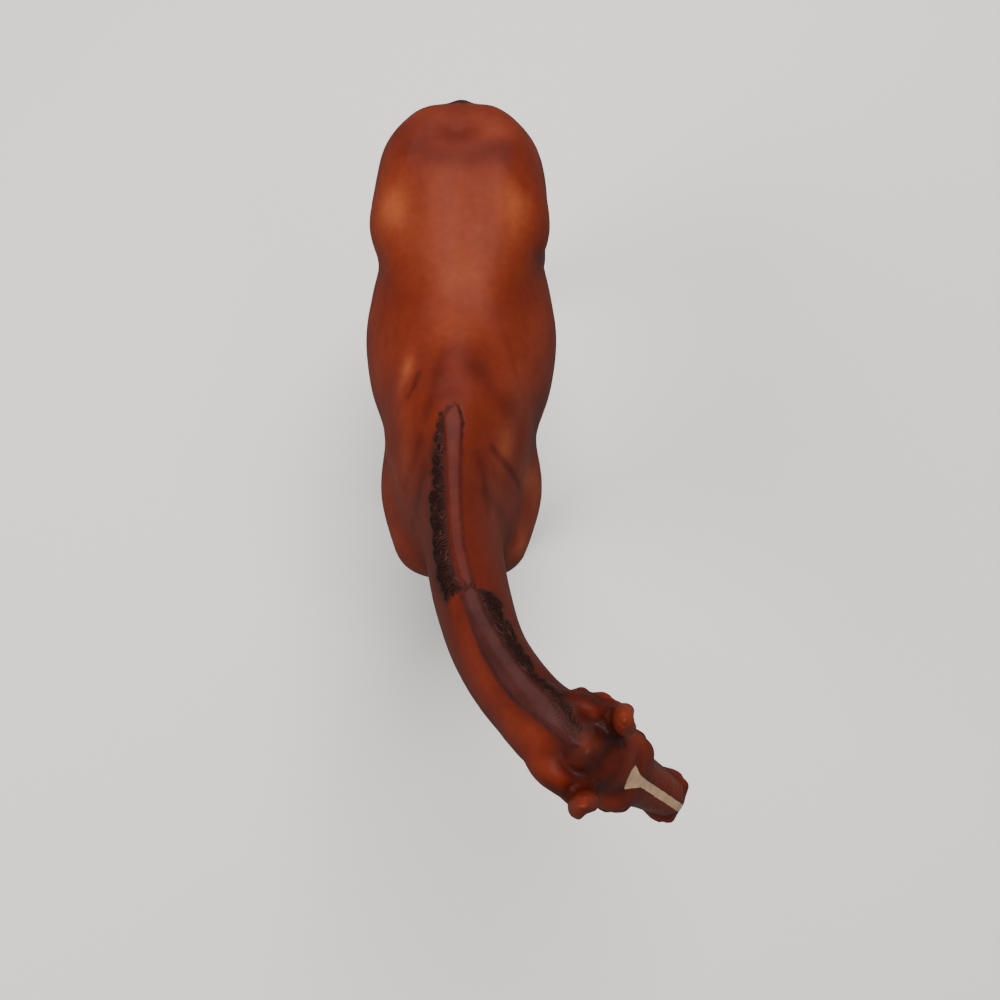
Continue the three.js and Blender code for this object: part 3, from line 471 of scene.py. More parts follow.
# %% Even out the crest
LINE_BELOW_CREST, WIDEST_TURN = 7, 1.35
WAVES_ALONG, WAVES_ROUND = 15, 6
at = on_figure(skin)
gap, along, sideways, nearest = follow(at, CREST - (0, 0, LINE_BELOW_CREST))[:4]
turn = np.arctan2(sideways, (at - nearest)[:, 2]) / WIDEST_TURN
on_crest = (gap > 2) & (gap < 13) & (np.abs(turn) < 1) & (along > 0.003) & (along < 0.96)
waves = np.polynomial.chebyshev.chebvander2d(
    2 * along[on_crest] - 1, turn[on_crest], [WAVES_ALONG, WAVES_ROUND])
fitted = waves @ np.linalg.lstsq(waves, gap[on_crest], rcond=None)[0]
amount = (1 - ramp(np.abs(turn), 0.4, 0.95)) * ramp(along, 0.01, 0.06) * (1 - ramp(along, 0.84, 0.95))
move = (fitted / gap[on_crest] - 1) * amount[on_crest]
at[on_crest] += (at - nearest)[on_crest] * move[:, None]
write(skin, at)
print("crest evened by up to", round(float(np.abs(move * gap[on_crest]).max()), 2), "mm")

# %% [markdown]
# ## Carving the mane
# The mane is parted along a smooth, rounded strip of hair. From the withers to mid-neck it falls on
# the right, and from there to the ears on the left. Hair could be made of many curves, but this hair
# is moulded with the neck: each lock is a low bulge with a rounded tip, and wavy strands run down it.
# So all of it is a height in millimetres, by which a vertex moves outwards.

# %% Measure the mane
LOCKS = 25
# At these shares of the crest: how far left the strip's middle lies, and half its width, in mm.
STRIP_AT = [0.03, 0.045, 0.085, 0.165, 0.31, 0.45, 0.53, 0.556, 0.566, 0.63, 0.72, 0.8, 0.88, 0.97, 1]
STRIP_MIDDLE = [0.7, 0.6, 0.5, 0.5, -0.2, -1, -0.2, 1, -0.7, -0.75, -0.7, -0.9, -0.5, -0.4, -0.2]
STRIP_HALF = [-1, 1.7, 3.0, 2.3, 2.2, 2.5, 2.0, 0.4, 2.2, 2.1, 2.9, 3.1, 3, 2, -1]
# At these shares of the crest: how far from its line the locks reach, in mm.
REACH_AT = [0.05, 0.1, 0.16, 0.29, 0.41, 0.5, 0.555, 0.562, 0.6, 0.71, 0.83, 0.9, 0.97]
REACH = [3, 5.6, 7.2, 9.4, 11.4, 10.6, 8, 8, 10.6, 9.8, 8, 6, 3]


def chance(lock):
    """The same number between 0 and 1 for the same lock, every time."""
    return np.modf(np.abs(np.sin(lock * 12.9898 + 4.1)) * 43758.5453)[0]


def measure_mane(at):
    """Where each place lies on the mane: along the crest, past the strip, down the hair, across its
    lock and its strand, and how much of it is hair."""
    gap, along, sideways = follow(at, CREST)[:3]
    side = np.where(along < PARTS_AT, -1, 1)
    half = np.interp(along, STRIP_AT, STRIP_HALF)
    off_strip = sideways - np.interp(along, STRIP_AT, STRIP_MIDDLE)
    past_strip = np.where(off_strip * side > 0, gap, np.abs(off_strip)) - half
    past_strip = np.where(gap > half + 2, np.maximum(past_strip, 1), past_strip)
    down = np.where(off_strip * side > 0, past_strip, -1)
    # The locks lie at uneven steps along the crest, and slant a little as they go down.
    place = along * LOCKS + 0.2 * np.sin(61 * along) + 0.3 * np.sin(23 * along) + 0.1 * np.maximum(down, 0)
    lock = np.floor(place)
    part = place - lock
    reach = np.interp(along, REACH_AT, REACH) * (0.82 + 0.34 * chance(lock)) - half
    reach *= 1 - 0.22 * (2 * part - 1) ** 2
    bend = 2.2 * np.sin(29 * along + 0.4) + 1.4 * np.sin(67 * along)
    wave = 0.9 * np.sin(0.95 * down + bend) + 0.45 * np.sin(2.3 * down - 1.7 * bend)
    strand = place * 4.2 + wave
    ends = ramp(along, 0.06, 0.1) * (1 - ramp(along, 0.93, 0.98)) * ramp(np.abs(along - PARTS_AT), 0, 0.012)
    start = 1.3 * (along < PARTS_AT) * ramp(along, 0.08, 0.2)
    hair = ramp(down, start, start + 0.8) * (1 - ramp(down, reach - 1, reach + 0.5)) * ends
    return dict(gap=gap, along=along, past=past_strip, down=down, part=part, strand=strand, hair=hair,
                reach=reach, start=start)


at = on_figure(skin)
mane = measure_mane(at)
print("locks hang up to", round(float((mane["reach"] * mane["hair"]).max()), 1), "mm down from the strip")

# %% Carve its locks, strands and strip
STRAND_STEP = 1.6
in_place = beyond(at, 40, MANE_BOTTOM)
height = mane["hair"] * (0.2 + 0.32 * np.sin(np.pi * mane["part"]))
height += mane["hair"] * 0.2 * np.cos(2 * np.pi * mane["strand"] / STRAND_STEP)
height += 0.55 * ((1 - ramp(mane["past"], -1.0, 0.4)) * (mane["gap"] < 6))
groove = (1 - 0.7 * ramp(mane["along"], 0.12, 0.2)) * ramp(mane["along"], 0.02, 0.05)
height -= 0.28 * groove * hump(mane["past"], 0.1, 0.42) * (mane["gap"] < 6)
write(skin, at + outward(skin) * (height * in_place)[:, None])
print("mane carved:", int((mane["hair"] * in_place > 0.5).sum()), "vertices in its locks")

# %% [markdown]
# ## Carving the tail
# The tail hangs down as one thick moulded hank. Its strands are shallow grooves that twist a little
# as they run down, so they are waves in the angle round the tail's middle line. Ten thick strands go
# round it, finer ones lie over them, and both fade out at the root.

# %% Strands of the tail
def measure_tail(at):
    """For each place: how far along the tail it lies, how far round it, and how much of it is tail."""
    gap, along, sideways, nearest, heading = follow(at, TAIL)
    over = (at - nearest)[:, 0] * heading[:, 2] - (at - nearest)[:, 2] * heading[:, 0]
    round_it = np.arctan2(at[:, 1] - nearest[:, 1], over)
    turn = 2.5 * round_it + 2.4 * np.sin(4 * along + 0.6)
    inside = (at[:, 0] < -76) * (gap < 13) * ramp(along, 0.1, 0.3) * (at[:, 2] > TAIL_TIP)
    return along, turn, inside


at = on_figure(skin)
along, turn, inside = measure_tail(at)
height = inside * (0.3 * np.cos(4 * turn) + 0.12 * np.cos(10 * turn + 1.5 * np.sin(9 * along)))
write(skin, at + outward(skin) * height[:, None])
print("tail carved:", int((inside > 0.5).sum()), "vertices")

# %% [markdown]
# ## Carving the face
# The eyes are low domes between two lids, with a crease over the upper lid. The nostrils are comma
# shaped, and the mouth is a fine line round the muzzle. Separate eyeballs would leave seams that a
# moulding doesn't have, so the skin itself is moved. Everything is measured on one side of the head
# and applied to both.

# %% Eyes
EYE_LEAN = math.radians(10)
HALF_EYE, UPPER_LID, LOWER_LID = 3.1, 1.65, 1.25
EYEBALL_OUT, EYEBALL_ROUND = 9.6, 1.6
FAR = 9  # millimetres, for every place that is well away


def measure_eye(head):
    """For each place: how far it is outside the opening of the eye, and its place across the eye."""
    a, c = head[:, 0] - EYE[0], head[:, 2] - EYE[2]
    x = a * math.cos(EYE_LEAN) - c * math.sin(EYE_LEAN)
    y = a * math.sin(EYE_LEAN) + c * math.cos(EYE_LEAN)
    width = 1 - np.clip(x / HALF_EYE, -1.6, 1.6) ** 2
    outside = np.maximum(y - UPPER_LID * width, -LOWER_LID * width - y)
    outside = np.where(near(head, EYE, 6), outside, FAR)
    return outside, x, y


def to_side(head, sides):
    """Places on the left half of the head, sent to the side, 1 or -1, that each belongs to."""
    return np.column_stack((head[:, 0], head[:, 1] * sides, head[:, 2]))


at = on_figure(skin)
sides = np.where(on_head(at)[:, 1] < 0, -1, 1)
head = both_sides(on_head(at))
outside, x, y = measure_eye(head)
by_the_eye = outside < 6
ball = EYEBALL_OUT + EYEBALL_ROUND * np.sqrt(np.clip(1 - (x / 4.2) ** 2 - (y / 3.1) ** 2, 0, 1))
opening = 1 - ramp(outside, -0.3, 0.0)
head[:, 1] += (ball - head[:, 1]) * opening
lid = np.where(y > 0, 0.42, 0.26) * hump(outside, 0.45, 0.38)
crease = np.where(y > 0, 0.24, 0.1) * hump(outside, 1.75, 0.4) * (np.abs(x) < 4)
socket = 0.3 * hump(outside, 0.02, 0.16)
head[:, 1] += (lid - crease - socket) * by_the_eye
write(skin, np.where(by_the_eye[:, None], from_head(to_side(head, sides)), at))
print("eyes carved:", int((opening > 0.5).sum()), "vertices on the two of them")

# %% Nostrils, mouth, ears and creases
FACE = {  # a line on the left half of the head, how wide, how deep
    "nostril": ([(60, 7.3, -6.2), (62.1, 7.1, -6.7), (63.7, 6.4, -8.2), (63.3, 6.8, -10)], 0.8, 1.1),
    "mouth": ([(66.6, 0, -16.2), (64.5, 4.6, -16), (60, 6.3, -15.2), (55.5, 6.4, -14.4)], 0.45, 0.5),
    "chin": ([(63.5, 0, -20.8), (61.5, 3.4, -20.3), (57.5, 4.6, -19.2)], 0.7, 0.2),
    "cheek": ([(31, 10.6, -12.2), (37, 9.2, -13), (43, 7.8, -13.2)], 0.9, 0.25),
    "jaw": ([(30, 10, -26), (24, 11.5, -18), (27, 11.5, -11)], 1.1, 0.3),
    "vein": ([(31, 9.4, -8.6), (38, 7.8, -8), (46, 6.6, -7.8), (52, 6.3, -8.6)], 0.55, -0.22),
    "ear_hollow": ([(0.2, 12.4, 7), (-4, 12.5, 9.6), (-8, 12.1, 11.8)], 1.0, 0.55),
    "brow_fold": ([(0.6, 5.7, 2.7), (3.6, 6.3, 2.8), (9.2, 6.5, 1.8)], 0.45, 0.5),
    "brow_fold_below": ([(3.8, 4.6, 2.8), (6.4, 5.2, 2.7), (8.6, 5.2, 2.5)], 0.4, 0.4),
}
at = on_figure(skin)
head = to_side(on_head(at), sides)
is_head = (head[:, 0] > -14) & beyond(at, 120, 130)
moved = np.zeros(len(at))
for points, wide, deep in FACE.values():
    gap, along = follow(head, smooth_curve(points))[:2]
    moved -= deep * hump(gap, 0, wide) * (1 - 0.6 * ramp(np.abs(along - 0.5), 0.35, 0.5)) * is_head
for points, wide, deep in CREASES.values():
    gap, along = follow(at, smooth_curve(points))[:2]
    moved -= deep * hump(gap, 0, wide) * (1 - ramp(np.abs(along - 0.5), 0.3, 0.52))
write(skin, at + outward(skin) * moved[:, None])
print("strokes on the face and body:", len(FACE) + len(CREASES))

# %% [markdown]
# ## Hooves
# Each hoof has a hairline where the horn begins, faint growth rings below it, and a flat sole. They
# could be four pieces of their own, but they are moulded with the legs. So the hairline is a sloping
# line across each hoof, and the rings are waves in the distance below it.

# %% Horn of the hooves
FEET = [  # forward, side, toe, heel, lean of the toe, height of the hairline at the toe and heel
    (52, 1, 19, 4.4, 0.76, 10.2, 4.6), (54, -1, 19, 4.4, 0.76, 10.2, 4.6),
    (-86, 1, 18, 4, 0.7, 10.4, 4.8), (-77, -1, 18, 4, 0.7, 10.4, 4.8),
]
# A hoof is looked for within this much of its middle, and below this height.
HOOF_MIDDLE, HOOF_REACH, HOOF_HEIGHT = 8, 18, 16
OFF_THE_HOOVES = 99.0
RING_STEP = 1.7
SOLE_EDGE, SOLE_FLAT = 0.7, 0.25


def above_hairline(at):
    """How far each place is above the hairline of its hoof, measured across the line."""
    above = np.full(len(at), OFF_THE_HOOVES)
    for forward, side, toe, heel, lean, high, low in FEET:
        x, z = at[:, 0] - forward, at[:, 2]
        ax, bx = toe - lean * high, heel - lean * low
        slope = math.hypot(ax - bx, high - low)
        height = ((x - ax) * (low - high) + (z - high) * (ax - bx)) / slope
        here = (np.abs(x - HOOF_MIDDLE) < HOOF_REACH) & (at[:, 1] * side > 0) & (z < HOOF_HEIGHT)
        above = np.where(here, height, above)
    return above


at = on_figure(skin)
above = above_hairline(at)
wall = (above < -0.5) & (at[:, 2] > SOLE_EDGE)
height = 0.1 * np.cos(2 * np.pi * above / RING_STEP) * wall
height -= 0.28 * hump(above, 0.1, 0.4) * (at[:, 2] > SOLE_EDGE)
height += 0.12 * hump(above, 1.1, 0.5)
at = at + outward(skin) * height[:, None]
at[:, 2] = np.where(at[:, 2] < SOLE_FLAT, 0, np.maximum(at[:, 2], 0))
write(skin, at)
print("hooves:", int(wall.sum()), "vertices on the horn")

# %% Keep the skin inside the model's box
HAIR_BREADTH = 1e-5
low, high = np.array(cad_box[0]) + HAIR_BREADTH, np.array(cad_box[1]) - HAIR_BREADTH
low[2] = 0
places = read(skin)
skin.data.vertices.foreach_set("co", np.clip(places, low, high).ravel())
skin.data.update()
print("moved back inside:", int(((places < low) | (places > high)).any(axis=1).sum()), "vertices")

# %% [markdown]
# ## Where the paint goes
# The colour is airbrushed by hand, so it is soft everywhere except on the hair and the cream star.
# A painted picture would need an unwrapped mesh, and would show its dots from near. So each paint
# has its own number at every vertex: a soft tone from dark to light for the body, and for the sharp
# edges a distance in millimetres, which the material cuts near zero.

# %% Store a number at every vertex
def store(name, values):
    attribute = skin.data.attributes.new(name, "FLOAT", "POINT")
    attribute.data.foreach_set("value", np.asarray(values, np.float32))


def edge(values, where):
    """A distance from the edge of a paint, well outside it wherever the paint doesn't go."""
    return np.where(where, np.clip(values, -FAR, FAR), -FAR)


def smoothed(values, times):
    """The values after every vertex has taken the average of its neighbours, several times."""
    edges = np.empty(len(skin.data.edges) * 2, int)
    skin.data.edges.foreach_get("vertices", edges)
    one, other = edges.reshape(-1, 2).T
    count = np.bincount(edges, minlength=len(values))[:, None]
    for _ in range(times):
        sums = [np.bincount(one, column[other], len(values)) + np.bincount(other, column[one], len(values))
                for column in values.T]
        values = np.column_stack(sums) / count
    return values


at = on_figure(skin)
outwards = outward(skin)
head = on_head(at)
is_head = ramp(head[:, 0], -14, -4) * ramp(at[:, 0], 116, 132) * ramp(at[:, 2], 126, 142)
bulge = ((at - smoothed(at, 10)) * outwards).sum(axis=1)
bulge = smoothed(bulge[:, None], 5)[:, 0]
fine_grid = np.maximum(is_head, np.maximum(measure_mane(at)["hair"], at[:, 2] < HOOF_TOP))
bulge = np.clip(bulge, -0.25, 0.2) * (0.25 + 0.75 * fine_grid)
print("hollows and ridges between", round(float(bulge.min()), 2), "and", round(float(bulge.max()), 2), "mm")

# %% [markdown]
# The tone starts from one middle value. Ridges are lighter and hollows darker, as where an airbrush
# passes over a form. Then soft spots and soft lines lighten or darken the places where the paint on
# the figurine does; among them, the broad light patch along the back is partly painted sheen, the
# darker neck partly painted shadow, and the lines in the carved creases and behind the withers are
# painted shade. The head is darker as a whole, partly as painted shadow, and the underside is darker
# as painted shade where the skin faces down.

# %% Airbrushed tone, with painted sheen, shadow and shade
# The broad light patch along the middle of the back is partly painted sheen, and the darker spots on the
# neck are partly painted shadow.
TONES = [  # forward, left, up, reach along each, how much lighter
    (-32, -23, 170, 9, 7, 9, 0.4), (-31, 21, 170, 11, 8, 9, 0.36), (-10, 0, 170, 34, 13, 12, 0.28),
    (-38, 0, 172, 14, 11, 10, 0.04), (38, 0, 178, 12, 10, 12, -0.1), (-58, 0, 173, 10, 28, 12, -0.06),
    (-66, 0, 169.6, 6, 8, 6, 0.14), (-64, -21, 169, 7, 7, 8, -0.14), (-62, 14, 173, 6, 7, 7, 0.1),
    (29, -16, 167, 6, 2.6, 6, 0.32), (38, -18, 169, 7, 2.6, 6, 0.1), (64, -16, 165, 12, 4, 10, 0.22),
    (60, -24, 141, 12, 5, 14, 0.12), (60, 25, 141, 7, 6, 10, 0.3), (58, 18, 167, 7, 5, 6, 0.32),
    (76, 17, 152, 10, 6, 12, 0.18), (74, 14, 168, 14, 5, 14, 0.08), (83, 23, 130, 8, 6, 10, 0.26),
    (64, 30, 128, 10, 5, 12, 0.12), (14, 28, 155, 20, 6, 12, 0.06), (28, 20, 162, 12, 6, 8, 0.12),
    (-16, -27, 160, 10, 5, 10, 0.08), (100, -8, 178, 34, 14, 20, -0.16), (136, 14, 194, 14, 8, 14, 0.04),
    (118, 16, 182, 24, 10, 20, -0.1), (155, 30, 210, 6, 6, 7, -0.04), (139, 37, 211, 6, 6, 6, -0.24),
]
# Some of these lines are painted shade: those in the carved creases of the left shoulder and the right
# ribs, and the two either side of the back behind the withers; the rest are airbrushed streaks.
STREAKS_AND_CREASE_SHADE = [  # a line on the figure, how wide, how much darker
    ([(27, 3, 174), (33, 8, 174), (41, 13, 174), (45, 17, 170)], 4, 0.13),
    ([(27, -3, 174), (35, -5, 176), (43, -6, 178), (50, -8, 178)], 2.5, 0.12),
    ([(60, 13, 172), (63, 18, 162), (65, 20, 154), (66, 23, 143)], 1.5, 0.14),
    ([(75, 11, 174), (78, 14, 165), (80, 18, 147), (82, 20, 134)], 3, 0.14),
    ([(64, 8, 176), (71, 10, 174), (81, 12, 175)], 2, 0.12),
    ([(58, -10, 175), (64, -13, 168), (69, -18, 156)], 2, 0.12),
    ([(68, -8, 175), (75, -11, 166), (81, -16, 147)], 2.5, 0.12),
    ([(-52, -17, 175), (-48, -8, 176), (-47, 5, 176), (-52, 16, 176)], 5, 0.18),
    ([(33, -12, 172), (38, -13, 173), (42, -15, 173)], 1.3, 0.2),
    ([(16, 17, 165), (23, 19, 164), (30, 21, 164)], 1.5, 0.1),
    ([(-47, 17, 175), (-43, 21, 173), (-39, 24, 170)], 1.8, 0.1),
]
MIDDLE_TONE = 0.37
tone = MIDDLE_TONE + 1.1 * bulge
for f, l, u, long, wide, high, more in TONES:
    tone = tone + more * blot(at, (f, l, u), (long, wide, high))
for points, wide, less in STREAKS_AND_CREASE_SHADE:
    tone -= less * hump(follow(at, smooth_curve(points))[0], 0, wide)
# Painted shadow in part on the head, and painted shade on the underside, darker where the skin faces down.
tone -= 0.21 * is_head + 0.06 * (1 - ramp(outwards[:, 2], -0.6, 0.3))
ear = ramp(head[:, 2], 2.8, 5) * (np.abs(head[:, 1]) > 6.2) * (head[:, 0] < 3) * is_head
tone += np.where(head[:, 1] > 0, 0.1, -0.05) * ear * (0.4 + 0.6 * ramp(bulge, -0.05, 0.15))
store("tone", tone)
store("streaked", 1 - is_head)
print("tone between", round(float(tone.min()), 2), "and", round(float(tone.max()), 2))

# %% [markdown]
# The hair, the strip, the horn and the eyes have crisp edges, so each stores how far inside its edge
# a vertex lies. The soft dark has no edge: it is a share of dark under the hair with painted shadow
# just below its locks, dark paint beside the strip, between the ears, on the lips and down the legs,
# and painted shade in the crease of the left shoulder.

# %% Hair of the mane and the tail
PER_CREST = 120  # millimetres in the whole length of the crest, nearly
mane = measure_mane(at)
in_place = beyond(at, 40, MANE_BOTTOM)
ends = np.minimum(mane["along"] - 0.06, np.abs(mane["along"] - PARTS_AT) - 0.004) * PER_CREST
ends = np.minimum(ends, (0.965 - mane["along"]) * PER_CREST)
across = np.minimum(mane["down"] - mane["start"] + 0.1, mane["reach"] - mane["down"])
mane_edge = edge(np.minimum(across, ends), in_place & (mane["down"] > -0.9))
along, turn = measure_tail(at)[:2]
from_tail = follow(at, TAIL)[0]
on_tail = (at[:, 0] < -66) & (from_tail < 14) & (at[:, 2] > TAIL_TIP)
root_half = np.interp(along, [0.04, 0.1, 0.2, 0.32, 0.4], [3.5, 5.2, 6.4, 8, 13])
tail_edge = np.minimum(np.minimum((along - 0.06) * 60, root_half - np.abs(at[:, 1])), 11 - from_tail)
store("hair", np.where(on_tail, edge(tail_edge, on_tail), mane_edge))
store("strand", np.where(on_tail, turn * 2.2, mane["strand"]))
print("hair paint on", int((mane_edge > 0).sum()), "vertices of the mane")

# %% The parted strip
store("strip", np.where(in_place & (mane["gap"] < 7), -mane["past"] + 0.1, -FAR))
store("toward_head", ramp(mane["along"], 0.5, 0.6))
line = 1 - 0.8 * ramp(mane["along"], 0.12, 0.22) + 0.6 * hump(mane["along"], PARTS_AT, 0.012)
store("line", line * hump(mane["past"], 0.15, 0.4) * (mane["gap"] < 7) * in_place)
print("strip:", int((in_place & (mane["gap"] < 7) & (mane["past"] < 0.1)).sum()), "vertices")

# %% Soft dark paint, painted shadow and shade
# Dark under the hair, and painted shadow fading just below its locks.
dark_and_shadow_below_hair = hump(np.maximum(mane["down"] - mane["reach"], 0), 0, 2.4) * (mane["down"] > 0) * in_place
dark_and_shadow_below_hair *= ramp(mane["along"], 0.08, 0.14) * (1 - ramp(mane["along"], 0.9, 0.97))
rim_of_strip = hump(mane["past"], 0, 1.8) * (mane["gap"] < 9) * in_place * ramp(mane["along"], 0.52, 0.6)
# Painted shade in the carved crease of the left shoulder.
shade_in_shoulder_crease = hump(follow(at, smooth_curve(CREASES["left_shoulder"][0]))[0], 0, 1.2)
between_ears = blot(head, (-3.2, 4.8, 1), (4.2, 3.2, 3)) * is_head
end_of_strip = blot(head, (-4.6, -2, 1), (4.6, 3.2, 3.6)) * is_head
below_knee = 1 - ramp(at[:, 2] + 6 * np.sin(at[:, 0] * 0.35), 34, 74)
lips = ramp(head[:, 0] - 0.8 * (head[:, 2] + 12), 62, 72) * is_head
left_bare = 1.0
for where, share in (
    (dark_and_shadow_below_hair, 0.65), (between_ears, 0.62), (below_knee, 0.8), (lips, 0.4), (rim_of_strip, 0.3),
    (end_of_strip, 0.62), (shade_in_shoulder_crease, 0.2),
):
    left_bare = left_bare * (1 - share * where)
dark = 1 - left_bare
store("dark", dark)
print("soft dark paint covers", round(100 * float((dark > 0.5).mean())), "% of the vertices")

# %% Hooves and eyes
hoof_edge = np.clip(0.1 - above_hairline(at), -FAR, FAR)
eye_edge = edge(-measure_eye(both_sides(head))[0], is_head > 0)
store("hoof", hoof_edge)
store("eye", eye_edge)
print("vertices of the horn:", int((hoof_edge > 0).sum()), "and of the eyes:", int((eye_edge > 0).sum()))

# %% [markdown]
# The star lies on the forehead and runs down the nose as a narrow stripe. Its edge is crisp, so it is
# an outline of a few points on the face, in millimetres down from the poll and across. Each vertex
# takes its distance from that outline.

# %% The star
STAR = [
    (15.8, 2.9), (13.8, 1.1), (14.4, -1.3), (16.8, -3.5), (19.6, -2.3), (23.9, -1.2), (37.7, -1.6),
    (47.1, -1.9), (56, -2.2), (63, -2.3), (66.5, -1.6), (66.5, -0.2), (60.6, 0.1), (50.4, 0.3),
    (42.4, 0.6), (25.2, 1.0), (20.4, 1.3), (17.6, 2.3),
]


def inside_outline(points, outline):
    """How far each point lies inside a closed outline; less than nothing outside it."""
    nearest = np.full(len(points), 1e9)
    inside = np.zeros(len(points), bool)
    for (ax, ay), (bx, by) in zip(outline, outline[1:] + outline[:1]):
        stretch = np.array((bx - ax, by - ay))
        t = np.clip((points - (ax, ay)) @ stretch / (stretch @ stretch), 0, 1)
        nearest = np.minimum(nearest, np.linalg.norm(points - (ax, ay) - t[:, None] * stretch, axis=1))
        crosses = (points[:, 1] < ay) != (points[:, 1] < by)
        height = ax + (points[:, 1] - ay) * (bx - ax) / (by - ay if by != ay else 1)
        inside ^= crosses & (points[:, 0] < height)
    return np.where(inside, nearest, -nearest)


on_front = (is_head > 0.5) & (head[:, 2] > -13) & (head[:, 0] > 10)
star = edge(inside_outline(head[:, :2], STAR), on_front)
store("star", star)
print("star:", int((star > 0).sum()), "vertices")

# %% [markdown]
# ## The paint itself
# One material covers the moulding. Its base colour goes up a ramp by the soft tone, mottled a little
# by noise, and the other paints are laid over it where their numbers say. The gloss changes too:
# satin on the body, glossy on the parted strip, duller on the hair and wet on the eyes.

# %% Helpers for the nodes
paint = bpy.data.materials.new("airbrushed_paint")
nodes, links = nodes_of(paint)
shader = nodes["Principled BSDF"]
place_in_object = nodes.new("ShaderNodeTexCoord").outputs["Object"]


def number(name):
    node = nodes.new("ShaderNodeAttribute")
    node.attribute_name = name
    return node.outputs["Fac"]


def combine(a, b, how="ADD"):
    node = nodes.new("ShaderNodeMath")
    node.operation = how
    for socket, value in zip(node.inputs, (a, b)):
        if isinstance(value, (int, float)):
            socket.default_value = value
        else:
            links.new(value, socket)
    return node.outputs[0]


def times(a, b):
    return combine(a, b, "MULTIPLY")


def sine(value):
    return combine(value, 0, "SINE")


def between(value, low, high, to_low=0.0, to_high=1.0):
    node = nodes.new("ShaderNodeMapRange")
    node.interpolation_type = "SMOOTHSTEP"
    links.new(value, node.inputs["Value"])
    for name, limit in zip(("From Min", "From Max", "To Min", "To Max"), (low, high, to_low, to_high)):
        node.inputs[name].default_value = limit
    return node.outputs["Result"]


def noise(scale, detail=3.0, stretch=None):
    node = nodes.new("ShaderNodeTexNoise")
    node.inputs["Scale"].default_value = scale
    node.inputs["Detail"].default_value = detail
    where = place_in_object
    if stretch:
        squeeze = nodes.new("ShaderNodeMapping")
        squeeze.inputs["Scale"].default_value = stretch
        links.new(where, squeeze.inputs["Vector"])
        where = squeeze.outputs["Vector"]
    links.new(where, node.inputs["Vector"])
    return node.outputs["Fac"]


def swing(amount, scale, detail=3.0, stretch=None):
    """Noise that swings to both sides of zero, by up to half the amount."""
    return times(combine(noise(scale, detail, stretch), 0.5, "SUBTRACT"), amount)


def mix(amount, under, over):
    node = nodes.new("ShaderNodeMix")
    node.data_type = "RGBA"
    links.new(amount, node.inputs["Factor"])
    for socket, value in ((node.inputs[6], under), (node.inputs[7], over)):
        if isinstance(value, tuple):
            socket.default_value = (*value, 1)
        else:
            links.new(value, socket)
    return node.outputs[2]


print("material:", paint.name)

# %% Body colour
COLOURS = [  # tone, colour
    (0.0, (0.035, 0.004, 0.002)), (0.22, (0.075, 0.0085, 0.0035)), (0.42, (0.125, 0.0155, 0.006)),
    (0.58, (0.165, 0.026, 0.0095)), (0.76, (0.225, 0.047, 0.017)), (1.0, (0.33, 0.078, 0.026)),
]
# The soft dark is dark paint, and also painted shadow below the hair and painted shade in the shoulder
# crease.
SOFT_DARK_AND_SHADE = (0.018, 0.0075, 0.0062)
mottle = swing(0.2, 55, 4)
grain = swing(0.15, 420)
brushed = times(swing(0.24, 110, stretch=(1, 0.3, 0.3)), number("streaked"))
tone_here = combine(combine(number("tone"), mottle), combine(grain, brushed))
ramp_node = nodes.new("ShaderNodeValToRGB")
ramp_node.color_ramp.interpolation = "B_SPLINE"
for _ in range(len(COLOURS) - 2):
    ramp_node.color_ramp.elements.new(0.5)
for element, (place, colour) in zip(ramp_node.color_ramp.elements, COLOURS):
    element.position = place
    element.color = (*colour, 1)
links.new(tone_here, ramp_node.inputs["Fac"])
colour = mix(number("dark"), ramp_node.outputs["Color"], SOFT_DARK_AND_SHADE)
print("body colours:", len(COLOURS))

# %% Hair and the parted strip over it
FULL_TURN = 6.283
STRAND_WIDTH = 0.9
HAIR_COLOURS = (0.012, 0.0035, 0.003), (0.05, 0.017, 0.012)
STRIP_BY_WITHERS = (0.066, 0.01, 0.007), (0.088, 0.014, 0.009)
# Near the head the strip's dark paint has a purple-grey cast, which is painted reflection.
STRIP_BY_HEAD_WITH_REFLECTION = (0.036, 0.009, 0.0085), (0.052, 0.0135, 0.012)
ragged = swing(4.5, 420, 4)
hair_here = between(combine(number("hair"), ragged), -0.9, 0.5)
strip_here = between(combine(number("strip"), times(ragged, 0.4)), -0.8, 0.6)
strand_line = combine(times(number("strand"), FULL_TURN / STRAND_WIDTH), times(noise(520), 7.0))
strand_wave = between(sine(strand_line), -0.5, 1.0)
flecks = between(noise(240), 0.4, 0.65, 0.25, 1.0)
colour = mix(hair_here, colour, mix(times(strand_wave, flecks), *HAIR_COLOURS))
strip_mottle = between(noise(160), 0.3, 0.75)
by_withers, by_head_with_reflection = mix(strip_mottle, *STRIP_BY_WITHERS), mix(strip_mottle, *STRIP_BY_HEAD_WITH_REFLECTION)
colour = mix(strip_here, colour, mix(number("toward_head"), by_withers, by_head_with_reflection))
broken_line = times(number("line"), between(noise(260), 0.36, 0.58))
colour = mix(times(broken_line, 0.9), colour, HAIR_COLOURS[0])
print("hair and strip colours:", len(HAIR_COLOURS) + len(STRIP_BY_WITHERS) + len(STRIP_BY_HEAD_WITH_REFLECTION))

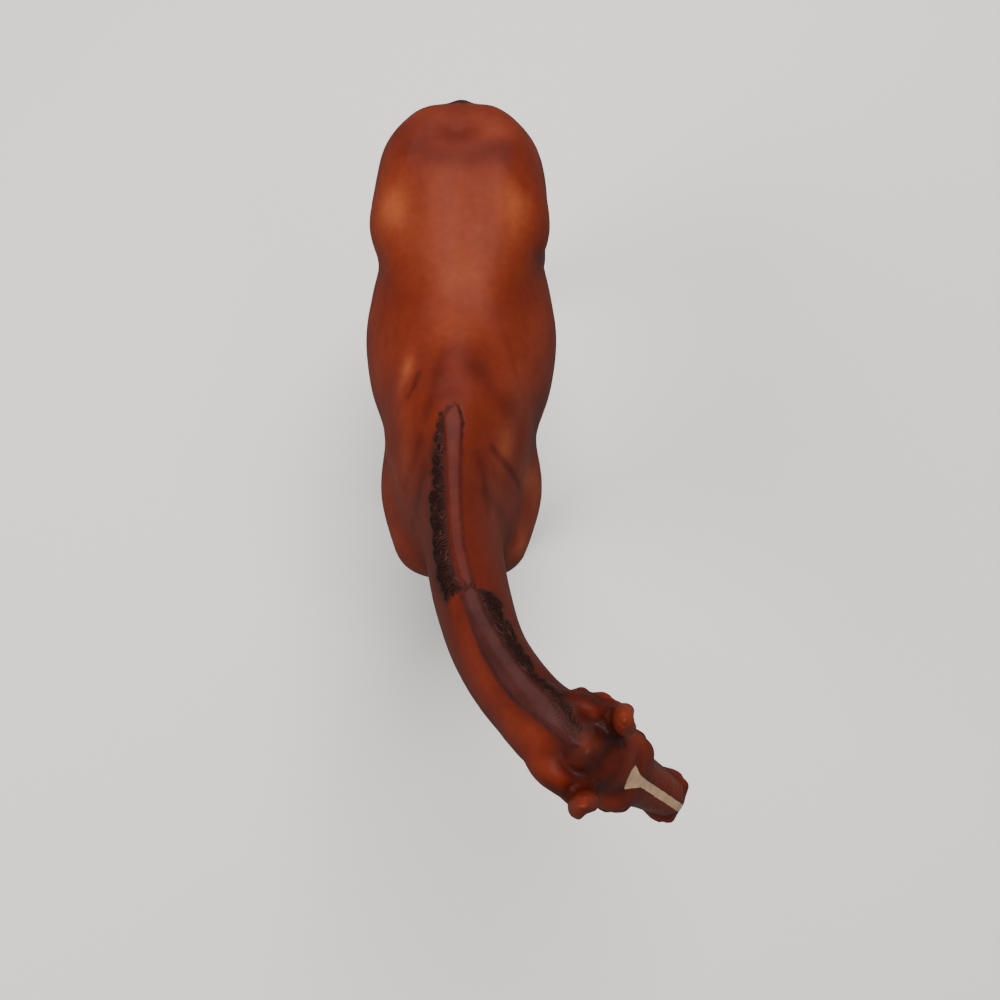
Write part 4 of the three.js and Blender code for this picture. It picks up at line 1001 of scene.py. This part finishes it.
# %% Hooves, star and eyes over it
HORN = (0.018, 0.012, 0.009), (0.034, 0.023, 0.017)
CREAM = (0.38, 0.235, 0.14), (0.46, 0.31, 0.19)
EYE_BLACK = (0.006, 0.004, 0.004)
hoof_here = between(number("hoof"), -0.1, 0.15)
rings = between(sine(times(number("hoof"), FULL_TURN / RING_STEP)), -1, 1)
colour = mix(hoof_here, colour, mix(rings, *HORN))
star_here = between(combine(number("star"), swing(0.5, 700, 2)), -0.1, 0.1)
colour = mix(star_here, colour, mix(between(noise(240), 0.3, 0.7), *CREAM))
eye_here = between(number("eye"), -0.02, 0.1)
colour = mix(eye_here, colour, EYE_BLACK)
links.new(colour, shader.inputs["Base Color"])
print("paints laid over the body: 6")

# %% Gloss
ROUGHNESS = ((hair_here, 0.6), (strip_here, 0.27), (hoof_here, 0.42), (star_here, 0.5), (eye_here, 0.06))
gloss = between(noise(90), 0.3, 0.7, 0.36, 0.46)
for here, rough in ROUGHNESS:
    node = nodes.new("ShaderNodeMix")
    links.new(here, node.inputs["Factor"])
    links.new(gloss, node.inputs["A"])
    node.inputs["B"].default_value = rough
    gloss = node.outputs["Result"]
links.new(gloss, shader.inputs["Roughness"])
shader.inputs["Coat Weight"].default_value = 0.05
shader.inputs["Coat Roughness"].default_value = 0.18
shader.inputs["IOR"].default_value = 1.36
print("finishes:", len(ROUGHNESS) + 1)

# %% Fine relief
peel = times(noise(650), 0.4)
specks = between(noise(1800, 2), 0.66, 0.74, 0, 0.5)
curls = times(times(strand_wave, hair_here), 2.0)
bump = nodes.new("ShaderNodeBump")
bump.inputs["Strength"].default_value = 0.5
bump.inputs["Distance"].default_value = 0.00012
links.new(combine(combine(peel, specks), curls), bump.inputs["Height"])
links.new(bump.outputs["Normal"], shader.inputs["Normal"])
pick(skin)
bpy.ops.object.shade_smooth()
skin.data.materials.append(paint)
print("nodes in the paint:", len(nodes))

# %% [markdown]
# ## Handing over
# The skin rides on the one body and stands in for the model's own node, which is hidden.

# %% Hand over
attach(skin, "root")
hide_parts("horse")
